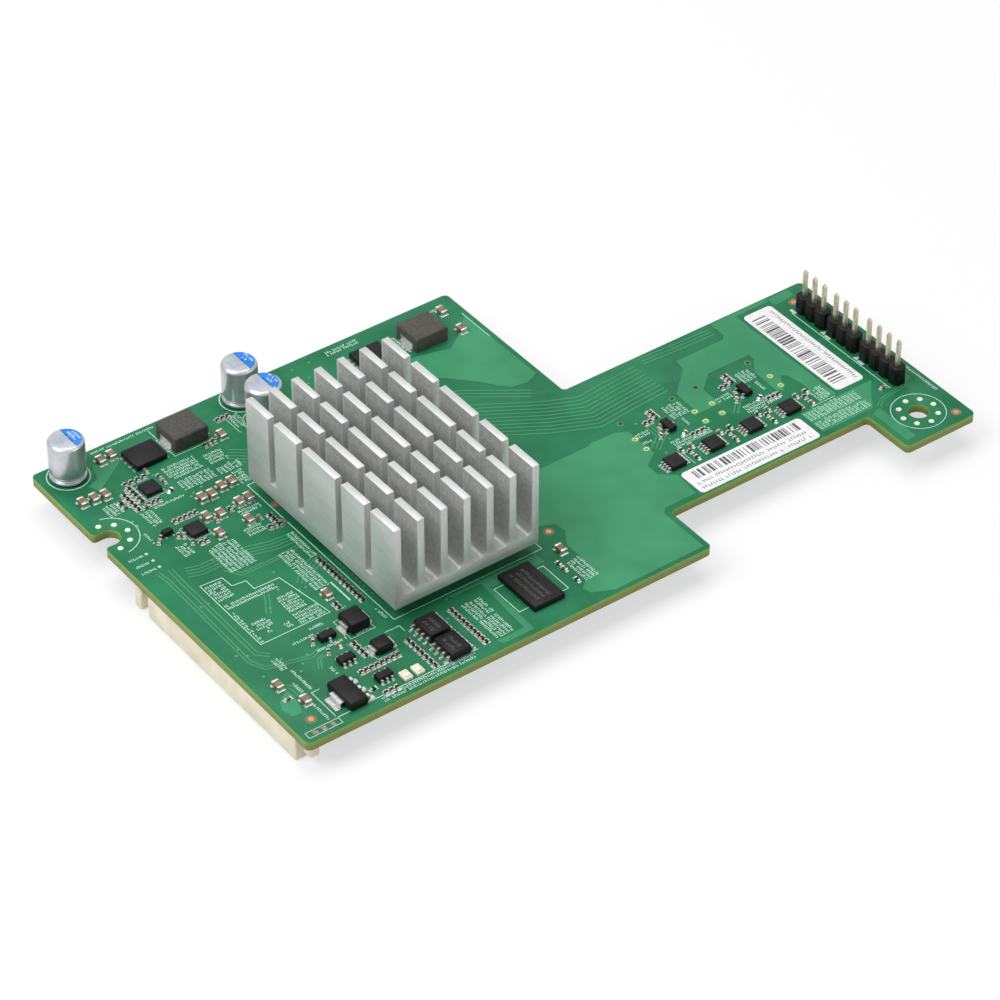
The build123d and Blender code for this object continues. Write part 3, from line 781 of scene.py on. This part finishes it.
hole, notch = (129.0, 7.0), (2.05, 59.6)
notch_vias = [(2.0, 63.0), (4.3, 61.9), (5.4, 59.5), (4.4, 57.2), (2.0, 56.3)]
bright_vias = on_circle(*hole, 3.31, 8) + notch_vias
tinned_ring = mottled("tinned_ring", (206, 222, 190), (228, 240, 214), 0.4, 0.4, 0.2, 0.004)
keep_rings("ring_vias", bright_vias, (0.5, 0.2, 0.06), 16, "solder_ends", tinned_ring)

test_points = [
    (102.4, 29.2), (98.7, 29.2), (102.2, 26.2), (98.6, 26.1),
    (86.0, 29.2), (86.0, 26.1), (115.0, 29.2), (114.9, 26.2),
]
lime_ring = mottled("lime_mask_ring", (84, 142, 66), (98, 156, 78), 1.0, 0.45)
keep_rings("test_point_masks", test_points, (0.72, 0.0, 0.035), 20, "board_laminate", lime_ring)
pale_solder = mottled("pale_solder", (206, 210, 150), (226, 228, 178), 0.4, 0.4, 0.2, 0.004)
keep_rings("test_points", test_points, (0.5, 0.16, 0.06), 16, "gold_metal", pale_solder)

sink_vias = [(28.3, 23.2 + 1.12 * k) for k in range(11)] + [(29.4, 24.0 + 1.6 * k) for k in range(4)]
keep_rings("small_vias", sink_vias, (0.2, 0.07, 0.045), 10, "solder_ends")


def strewn(areas):
    """Random places in boxes, each box with its own count."""
    repeated = [area for *area, count in areas for _ in range(count)]
    return [(random.uniform(x0, x1), random.uniform(y0, y1)) for x0, y0, x1, y1 in repeated]


random.seed(7)
mask_via_areas = [
    (8.5, 54.0, 27.0, 72.0, 20), (7.0, 8.0, 26.0, 24.0, 14), (27.5, 3.0, 42.0, 15.0, 10),
    (2.0, 10.0, 9.0, 40.0, 8), (88.0, 21.5, 116.0, 34.0, 16), (12.0, 28.0, 26.0, 46.0, 10),
    (28.0, 60.0, 56.0, 79.0, 20),
]
mask_via_places = strewn(mask_via_areas)
masked = mottled("mask_over_vias", (70, 134, 98), (84, 148, 110), 2.0, 0.42)
keep_rings("mask_vias", mask_via_places, (0.26, 0.1, 0.038), 8, "board_laminate", masked)

drilled = [(114.3, 34.3), (102.9, 34.25), (97.8, 34.2), (86.65, 34.0)]
olive = mottled("olive_collar", (64, 120, 60), (80, 132, 66), 1.0, 0.5)
keep_rings("drill_collars", drilled, (0.62, 0.0, 0.03), 18, "board_laminate", olive)
shadow = mottled("hole_shadow", (26, 42, 22), (34, 52, 28), 0.5, 0.8)
keep_rings("drilled_holes", drilled, (0.36, 0.0, 0.045), 16, "header_plastic", shadow)

fiducials = [(133.96, 3.11), (131.63, 43.04), (60.08, 18.7), (3.67, 4.54), (28.52, 50.79)]
laminate = mottled("bare_laminate", (96, 104, 66), (112, 120, 78), 1.0, 0.6)
keep_rings("fiducial_windows", fiducials, (0.95, 0.0, 0.02), 20, "board_laminate", laminate)
copper = mottled("bare_copper", (206, 128, 92), (226, 150, 112), 0.4, 0.4, 0.6, 0.004)
keep_rings("fiducials", fiducials, (0.5, 0.0, 0.05), 18, "gold_metal", copper)
corner_places = [at(x, y, 0.0, 0.0, 0.85, 1.05) for x, y in ((2.5, 1.55), (4.15, 1.5), (5.75, 1.55))]
corner_pads = scatter(model_plate("corner_pads", 1.0, 1.0, pad_mm, eased_mm), corner_places)
keep(corner_pads, "solder_ends", mottled("aged_tin", (112, 98, 74), (158, 150, 130), 0.5, 0.4, 0.5, 0.004))
print("bright vias:", len(bright_vias), "under the mask:", len(mask_via_places))

# %% [markdown]
# ## The smallest parts
# Round the square chips and the port chips stand more parts than the solids hold. Each is a body with a
# cap at both ends. Bodies and caps are scattered over the same places, so that they stay together.

# %% Extra chip parts
tiny_places = [
    (11.2, 68.2, 0), (11.2, 67.3, 0), (11.2, 66.3, 0), (11.2, 65.3, 0), (11.2, 64.3, 0), (10.9, 62.5, 0),
    (8.1, 65.8, 0), (8.1, 64.4, 0), (16.9, 67.9, 90), (16.9, 66.4, 90), (16.5, 63.8, 30), (15.9, 70.4, 90),
    (11.2, 53.3, 60), (12.0, 52.7, 60), (8.5, 54.5, 45), (7.9, 53.8, 45), (12.2, 50.6, 60),
    (24.4, 49.4, 90), (24.4, 46.3, 90), (25.3, 46.2, 90), (26.2, 46.0, 90), (27.0, 46.2, 90),
    (27.5, 70.3, 90), (28.4, 70.3, 90), (29.3, 70.4, 90), (3.3, 10.3, 0), (14.6, 15.6, 60),
    (16.8, 15.9, 90), (13.9, 18.9, 60), (14.5, 19.9, 60), (15.3, 4.4, 0), (92.4, 33.6, 0), (92.4, 32.7, 0),
    (92.4, 31.8, 0), (108.7, 33.6, 0), (108.7, 32.7, 0), (108.7, 31.8, 0), (90.6, 28.1, 45),
    (90.0, 27.2, 45), (91.3, 29.0, 45), (106.9, 28.2, 45), (106.3, 27.3, 45), (107.6, 29.2, 45),
    (93.7, 25.6, 30), (109.8, 25.6, 30), (128.3, 15.4, 0), (56.5, 11.2, 90), (56.5, 9.7, 90),
    (56.5, 6.4, 90), (21.6, 59.0, 90), (21.7, 54.0, 90), (18.3, 53.0, 90),
]
for n in range(4):
    tiny_places += [(91.4 + 8.2 * n, 19.3, 90), (92.5 + 8.2 * n, 22.3, 90), (90.4 + 8.2 * n, 22.3, 90)]
body_z, cap_z, cap_reach, pad_reach = 0.06, 0.04, 0.42, 0.567
dark_places = [at(x, y, body_z, turn) for x, y, turn in tiny_places[::2]]
tan_places = [at(x, y, body_z, turn) for x, y, turn in tiny_places[1::2]]
keep(scatter(model_plate("tiny_resistors", 0.62, 0.5, 0.3, 0.03), dark_places), "resistor_film")
keep(scatter(model_plate("tiny_ceramics", 0.58, 0.5, 0.42, 0.05), tan_places), "ceramic_tan")
caps, tiny_pads = [], []
for x, y, _, turn, _, _ in dark_places + tan_places:
    along = Vector((math.cos(math.radians(turn)), math.sin(math.radians(turn))))
    for side in (-1, 1):
        caps.append(at(x + along.x * side * cap_reach, y + along.y * side * cap_reach, cap_z, turn))
        tiny_pads.append(at(x + along.x * side * pad_reach, y + along.y * side * pad_reach, 0.0, turn))
keep(scatter(model_plate("tiny_caps", 0.26, 0.54, 0.4, 0.05), caps), "solder_ends")
keep(scatter(model_plate("tiny_pads", 0.5, 0.66, pad_mm, eased_mm), tiny_pads), "solder_ends")
print("tiny parts:", len(tiny_places))

# %% [markdown]
# Beside the second square chip stands a small dark transistor. It is a block whose top is drawn in, with
# three flat feet.

# %% Small transistor
small_body = model_plate("small_transistor", 1.9, 1.2, 0.85)
pick_faces(small_body, looks_up)
bpy.ops.transform.resize(value=(0.88, 0.82, 1.0))
bpy.ops.mesh.select_all(action="SELECT")
bpy.ops.mesh.bevel(offset=0.05 * MM, segments=2)
leave_edit()
keep(scatter(small_body, [at(10.0, 54.8, 0.08)]), "chip_mould")
feet = [at(x, y, 0.0, 90) for x, y in ((9.35, 54.0), (10.65, 54.0), (10.0, 55.6))]
keep(scatter(model_plate("small_transistor_feet", 0.5, 0.34, 0.14, 0.02), feet), "tinned_metal")
print("made a transistor with", len(feet), "feet")

# %% [markdown]
# ## Printed marks
# White ink outlines the parts. Each frame is a thin strip round a path. A can's ring is cut short where
# it would pass the board's edge.

# %% White ink
ink_mm, ink_low_mm = 0.03, copper_mm * 0.5
ink_finish = mottled("white_ink", (162, 205, 186), (190, 222, 206), 0.5, 0.6)


def frame_path(x0, y0, x1, y1):
    """A closed path round a box."""
    return [(x0, y0), (x1, y0), (x1, y1), (x0, y1), (x0, y0)]


def ring_path(x, y, radius, sides=40, first=0.0, last=360.0):
    """An arc from one angle to another, or a closed ring."""
    angles = [math.radians(first + (last - first) * k / sides) for k in range(sides + 1)]
    return [(x + radius * math.cos(a), y + radius * math.sin(a)) for a in angles]


frames = [
    ([(7.1, 40.8), (11.1, 40.5), (11.3, 37.9), (13.8, 37.6), (13.8, 35.2), (18.5, 35.1), (20.3, 23.4),
      (7.1, 23.4), (7.1, 40.8)], 0.14),
    (frame_path(27.4, 15.9, 56.6, 57.5), 0.16),
    (frame_path(44.4, 5.6, 54.2, 12.4), 0.14),
    (ring_path(*notch, 4.9, 18, -84, 78), 0.16),
    (ring_path(*hole, 4.7), 0.14),
    ([(129.3, 14.6), (129.3, 40.6)], 0.16),
    ([(1.0, 2.3), (7.2, 2.3), (7.2, 1.0), (1.0, 1.0), (1.0, 2.3)], 0.12),
    ([(7.3, 2.4), (34.0, 2.4)], 0.16),
    ([(24.4, 14.2), (27.2, 14.2), (27.2, 12.6)], 0.12),
    ([(7.1, 2.8), (7.1, 9.4), (8.6, 9.4)], 0.14),
    ([(24.5, 23.8), (24.5, 29.3)], 0.3),
    ([(90.2, 18.3), (90.2, 22.8)], 0.1),
    ([(22.0, 79.2), (22.0, 70.9), (31.0, 70.9)], 0.14),
    ([(34.2, 70.0), (34.2, 75.0)], 0.1),
    ([(83.4, 66.4), (83.4, 74.6)], 0.14),
    ([(115.2, 18.5), (120.4, 18.5)], 0.12),
]
cans = ("capacitor_can_1", "capacitor_can_2", "capacitor_can_3")
can_ring, edge_margin = 3.62, 0.35
for node in cans:
    x, y = middle_of(node)
    rise = (board_place(board_high)[1] - edge_margin - y) / can_ring
    lean = math.degrees(math.asin(min(1.0, rise)))
    frames.append((ring_path(x, y, can_ring, 36, 180 - lean, 360 + lean), 0.2))
for stem, margin in (("driver_chip", 0.3), ("square_chip", 0.42), ("rectifier", 0.5)):
    for n in (1, 2):
        x0, y0, x1, y1 = corners_of(f"{stem}_{n}")
        frames.append((frame_path(x0 - margin, y0 - margin, x1 + margin, y1 + margin), 0.1))
ink_strips = sum([ribbon(path, width) for path, width in frames], [])
ink_frames = drawn("ink_frames", ink_strips, ink_mm, ink_low_mm)
keep(ink_frames, "label_paper", ink_finish)
print("ink frames:", len(frames))

# %% [markdown]
# A block of print is filled row by row from a fixed random seed. Each mark is a thin upright stroke,
# some with a short bar, so that the row has the rhythm of small characters without being any.

# %% Rows of print
STROKE_MM, TICK_MM, TICK_STEP, TICK_CHANCE = 0.14, 0.13, 0.15, 0.8
STROKE_STEPS = (0.35, 0.38, 0.42)


def boxes(marks, along_x=True):
    """Marks with two corners each as outlines, as they are or turned to run along y."""
    if along_x:
        return [frame_path(*mark)[:-1] for mark in marks]
    return [[(b, a), (d, a), (d, c), (b, c)] for a, b, c, d in marks]


def print_rows(x0, y0, x1, y1, along, height=0.54, gap=0.2, ink=0.96):
    """Strokes in rows that fill a box, the rows running along x or along y."""
    marks = []
    along_x = along == "x"
    long_low, long_high, short_low, short_high = (x0, x1, y0, y1) if along_x else (y0, y1, x0, x1)
    rows = max(1, round((short_high - short_low + gap) / (height + gap)))
    for r in range(rows):
        base = short_low + r * (height + gap)
        here = long_low + random.uniform(0.0, 0.2)
        while here < long_high - 0.2:
            if random.random() < ink:
                tall = height * random.choice((1.0, 1.0, 0.7))
                marks.append((here, base, here + STROKE_MM, base + tall))
                if random.random() < TICK_CHANCE:
                    tick = base + random.choice((0.0, height - TICK_MM, height * 0.42))
                    left = here + TICK_STEP
                    marks.append((left, tick, left + STROKE_MM, tick + TICK_MM))
            here += random.choice(STROKE_STEPS)
    return boxes(marks, along_x)


random.seed(11)
blocks = [
    (13.0, 40.6, 17.9, 47.9, "y"), (21.4, 29.0, 24.3, 39.9, "y"), (7.4, 35.8, 10.6, 40.0, "x"),
    (7.5, 33.3, 17.2, 34.8, "x"), (15.0, 27.0, 18.6, 31.2, "x"), (15.0, 23.7, 19.8, 26.8, "x"),
    (8.6, 26.4, 11.6, 28.6, "x"), (9.6, 25.0, 10.6, 26.2, "x"), (12.7, 24.2, 14.0, 25.8, "x"),
    (7.3, 23.7, 8.0, 32.6, "x"), (6.2, 16.2, 7.8, 19.6, "y"), (7.3, 10.2, 7.9, 15.8, "y"),
    (5.8, 10.2, 6.5, 13.2, "y"), (5.6, 2.8, 6.4, 8.8, "y"), (11.0, 20.2, 15.0, 20.7, "x"),
    (15.2, 21.6, 17.8, 22.4, "x"), (1.2, 52.3, 4.0, 52.9, "x"), (1.2, 50.3, 4.0, 50.9, "x"),
    (1.2, 48.4, 4.0, 49.0, "x"), (18.2, 65.9, 24.4, 69.4, "x"), (18.4, 62.3, 25.0, 65.1, "y"),
    (25.6, 65.6, 29.2, 68.4, "x"), (25.6, 62.3, 29.6, 64.4, "y"), (27.0, 58.4, 29.0, 61.6, "x"),
    (20.4, 46.4, 23.8, 48.4, "x"), (9.2, 57.8, 11.3, 61.8, "y"), (4.9, 63.6, 7.6, 66.8, "y"),
    (9.2, 48.2, 11.3, 51.2, "y"), (6.8, 58.9, 7.5, 61.0, "y"), (6.8, 54.0, 7.5, 57.4, "y"),
    (25.4, 36.2, 27.0, 43.3, "y"), (11.8, 61.3, 17.8, 62.0, "x"), (11.0, 79.4, 23.6, 80.0, "x"),
    (37.8, 2.6, 41.2, 7.6, "y"), (37.8, 7.8, 39.6, 12.4, "y"), (40.2, 8.2, 41.2, 12.4, "y"),
    (13.2, 16.6, 19.0, 17.2, "x"), (20.6, 16.2, 23.4, 16.8, "x"), (26.4, 16.8, 27.0, 20.0, "y"),
    (12.6, 10.6, 13.4, 12.6, "y"), (94.6, 29.6, 98.0, 33.3, "y"), (110.3, 30.2, 113.4, 33.2, "y"),
    (111.8, 26.8, 112.6, 29.8, "y"), (95.6, 27.0, 96.3, 29.4, "y"), (117.4, 18.9, 119.8, 22.4, "y"),
    (112.8, 12.8, 123.4, 15.0, "y"), (112.8, 15.4, 123.4, 18.0, "y"), (86.4, 28.9, 89.2, 30.2, "x"),
    (86.4, 27.2, 88.4, 27.8, "x"), (90.2, 23.2, 98.0, 25.0, "x"), (103.4, 28.6, 106.6, 30.2, "x"),
    (105.8, 23.4, 113.4, 25.2, "x"), (135.1, 9.6, 135.7, 19.6, "y"), (57.6, 5.4, 60.0, 11.0, "y"),
    (15.0, 0.9, 32.6, 1.9, "x"), (75.2, 77.8, 82.2, 78.6, "x"), (34.6, 71.0, 36.6, 74.6, "y"),
    (57.8, 78.2, 64.4, 79.8, "x"), (21.6, 54.0, 26.8, 54.6, "x"), (22.2, 51.6, 26.6, 53.0, "x"),
    (30.4, 13.0, 34.0, 13.8, "x"), (27.6, 2.6, 30.8, 3.2, "x"), (68.6, 71.6, 69.6, 76.0, "y"),
]
strokes = []
for x0, y0, x1, y1, along in blocks:
    strokes += print_rows(x0, y0, x1, y1, along)
strokes += boxes([(4.3, y - 0.25, 4.8, y + 0.25) for y in (52.6, 50.6, 48.7)])
strokes += [[(129.7, 33.7), (130.7, 33.1), (129.7, 32.5)], [(129.7, 24.9), (130.7, 24.3), (129.7, 23.7)]]
strokes += boxes([(129.5, y, 130.1, y + 1.4) for y in (40.2, 31.0, 22.2)])
ink_rows = drawn("ink_rows", strokes, ink_mm, ink_low_mm)
keep(ink_rows, "label_paper", ink_finish)
print("strokes of print:", len(strokes), "faces:", len(ink_rows.data.polygons))

# %% [markdown]
# ## Labels
# Both labels are white paper with a generic bar pattern and rows of marks beside it. The bars are
# thin strips of dark ink, laid on the paper and placed from the label's own measured size.

# %% Label bars
label_ink = mottled("label_ink", (70, 70, 72), (96, 96, 98), 0.6, 0.55)
BAR_WIDTHS, BAR_GAPS, LABEL_INK_MM = (0.16, 0.16, 0.3, 0.5), (0.2, 0.2, 0.4, 0.6), 0.012
MARK_HIGH, MARK_WIDE, MARK_STEPS = 0.62, 0.12, (0.52, 0.58)
random.seed(23)


def label_marks(node, along_x, bars, rows):
    """Bars over one share of the label's width and rows of marks at other shares of it."""
    x0, y0, x1, y1 = corners_of(node)
    start, end, near, wide = (x0, x1, y0, y1 - y0) if along_x else (y0, y1, x0, x1 - x0)
    marks = []
    here = start + 1.9
    while here < end - 2.0:
        width = random.choice(BAR_WIDTHS)
        marks.append((here, near + bars[0] * wide, here + width, near + bars[1] * wide))
        here += width + random.choice(BAR_GAPS)
    for base_share in rows:
        base = near + base_share * wide
        here = start + 1.0
        while here < end - 1.4:
            if random.random() < 0.92:
                marks.append((here, base, here + MARK_WIDE, base + MARK_HIGH))
                lift = base + random.choice((0.0, 0.25, 0.5))
                marks.append((here + 0.14, lift, here + 0.36, lift + MARK_WIDE))
            here += random.choice(MARK_STEPS)
    return boxes(marks, along_x)


bar_marks = label_marks("long_label", True, (0.56, 0.9), (0.34, 0.12))
bar_marks += label_marks("tall_label", False, (0.1, 0.58), (0.78,))
bars = drawn("label_bars", bar_marks, LABEL_INK_MM, top_of("long_label"))
keep(bars, "label_paper", label_ink)
print("label marks:", len(bars.data.polygons))

# %% [markdown]
# The can tops carry a printed blue segment with pale marks, and grey blue marks beside it. The segment
# is the part of the top's circle beyond a chord. Laser marks on the chips are greyer than the compound.

# %% Can prints and chip marks
segments, pale, steel = [], [], []
random.seed(5)
can_print_mm, segment_radius = 0.01, 2.7
for node in cans:
    x, y = middle_of(node)
    segments.append(ring_path(x, y, segment_radius, 24, -80, 80))
    pale += print_rows(x + 1.0, y - 1.2, x + 2.2, y + 1.4, "y", height=0.5, gap=0.3, ink=0.8)
    steel += print_rows(x - 1.9, y - 1.2, x + 0.6, y + 1.4, "y", height=0.62, gap=0.4, ink=0.85)
can_top = top_of("capacitor_can_1")
blue = drawn("can_print", segments, can_print_mm, can_top)
keep(blue, "can_metal", mottled("can_ink_blue", (24, 112, 200), (34, 126, 214), 1.5, 0.4))
pale_marks = drawn("can_pale_marks", pale, can_print_mm, can_top + can_print_mm)
keep(pale_marks, "can_metal", mottled("can_ink_pale", (186, 214, 240), (206, 228, 246), 0.8, 0.45))
steel_marks = drawn("can_steel_marks", steel, can_print_mm, can_top)
keep(steel_marks, "can_metal", mottled("can_ink_steel", (128, 166, 206), (150, 184, 218), 0.8, 0.45))

random.seed(9)
laser_finish = mottled("laser_mark", (66, 66, 62), (80, 80, 76), 0.4, 0.7)
ferrite_ink = mottled("ferrite_mark", (62, 60, 58), (74, 72, 68), 0.4, 0.7)
laser_mm = 0.008
for node, rows, inset_x, inset_y in (
    ("memory_chip", 3, 1.4, 1.2), ("driver_chip_1", 2, 0.8, 0.8), ("driver_chip_2", 2, 0.8, 0.8),
    ("inductor_1", 2, 1.9, 1.9), ("inductor_2", 2, 1.9, 1.9),
):
    finish = ferrite_ink if node.startswith("inductor") else laser_finish
    x0, y0, x1, y1 = corners_of(node)
    tall = min(0.8, ((x1 - x0) - 2 * inset_x) / (rows * 1.6))
    area = (x0 + inset_x, y0 + inset_y, x1 - inset_x, y1 - inset_y)
    marks = print_rows(*area, "y", height=tall, gap=tall * 0.6, ink=0.95)
    keep(drawn("marks_" + node, marks, laser_mm, top_of(node)), slot_of[node], finish)
print("printed can tops:", len(segments))

# %% [markdown]
# ## The underside
# The leads that pass through the board end in solder on its underside. Each joint is a cone drawn in
# towards its tip, so that its flank is hollow like wetted solder. Copper and vias lie there as on top.

# %% Solder joints and copper beneath
under_mm = (board_low.z - board_high.z) / MM
joint_places = []
for node in sorted(frame["nodes"]):
    if node.startswith(("header_pins", "capacitor_leads")):
        joint_places += [at(*board_place(centre), under_mm) for centre, _ in islands(node)]
joint_mm, foot_mm, tip_mm, hollow_share = 0.8, 0.95, 0.42, 0.55
deselect()
bpy.ops.mesh.primitive_cone_add(
    vertices=16, radius1=foot_mm * MM, radius2=tip_mm * MM, depth=joint_mm * MM,
    location=(0, 0, -joint_mm * MM / 2), rotation=(math.pi, 0, 0))
joint = bpy.context.object
joint.name = "solder_joints"
bpy.ops.object.transform_apply(location=True, rotation=True, scale=False)
edit_whole(joint)
bpy.ops.mesh.subdivide(number_cuts=2, smoothness=0.0)
leave_edit()
for vertex in joint.data.vertices:
    depth_share = min(1.0, -vertex.co.z / (joint_mm * MM))
    hollow = 1.0 - hollow_share * depth_share * (1.0 - depth_share)
    vertex.co.x *= hollow
    vertex.co.y *= hollow
joints = scatter(joint, joint_places)
choose(joints)
bpy.ops.object.shade_smooth_by_angle(angle=math.radians(50))
keep(joints, "solder_ends")

under_pours = [
    [(12.0, 2.0), (40.0, 2.0), (40.0, 14.0), (28.0, 22.0), (28.0, 47.0), (24.0, 51.0), (14.0, 53.4),
     (12.0, 50.0)],
    [(44.0, 2.0), (77.6, 2.0), (77.6, 12.6), (118.0, 12.6), (118.0, 30.0), (96.0, 30.0), (88.0, 24.0),
     (60.0, 24.0), (58.0, 20.0), (44.0, 20.0)],
    [(30.0, 60.0), (60.0, 60.0), (70.0, 52.0), (82.0, 52.0), (82.0, 78.0), (48.0, 78.0), (48.0, 72.0),
     (30.0, 72.0)],
]
under_copper = drawn("copper_beneath", under_pours, copper_mm, under_mm - copper_mm)
keep(under_copper, "board_laminate", mask_finish)
under_bundles = [
    ([(10.0, 57.0), (24.0, 54.0), (30.0, 50.0), (30.0, 30.0), (36.0, 24.0)], 4, 0.6),
    ([(60.0, 28.0), (86.0, 28.0), (96.0, 36.0), (122.0, 36.0), (129.4, 36.0)], 9, 0.8),
    ([(60.0, 44.0), (84.0, 43.0), (100.0, 43.0), (127.0, 41.6)], 4, 0.6),
    ([(11.0, 60.0), (26.0, 62.0), (28.0, 74.0)], 4, 0.6),
    ([(122.0, 14.0), (126.6, 16.6), (129.4, 20.0)], 4, 0.6),
]
under_tracks = drawn("tracks_beneath", tracks_of(under_bundles), copper_mm, under_mm - copper_mm)
keep(under_tracks, "board_laminate", mask_finish)
random.seed(31)
under_vias = strewn((
    (33.0, 26.0, 52.0, 50.0, 110), (12.0, 60.0, 46.0, 76.0, 40),
    (60.0, 30.0, 82.0, 42.0, 20), (14.0, 4.0, 38.0, 20.0, 30),
))
thin, thick = 0.04, 0.06
keep_rings("vias_beneath", under_vias, (0.26, 0.0, thin), 8, "board_laminate", z=under_mm - thin)
keep_rings("rings_beneath", bright_vias, (0.5, 0.0, thick), 16, "solder_ends", z=under_mm - thick)
print("joints:", len(joint_places), "vias beneath:", len(under_vias))

# %% Sizes and finish
low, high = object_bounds()
print("visual size in mm:", [round(v / MM, 1) for v in high - low])
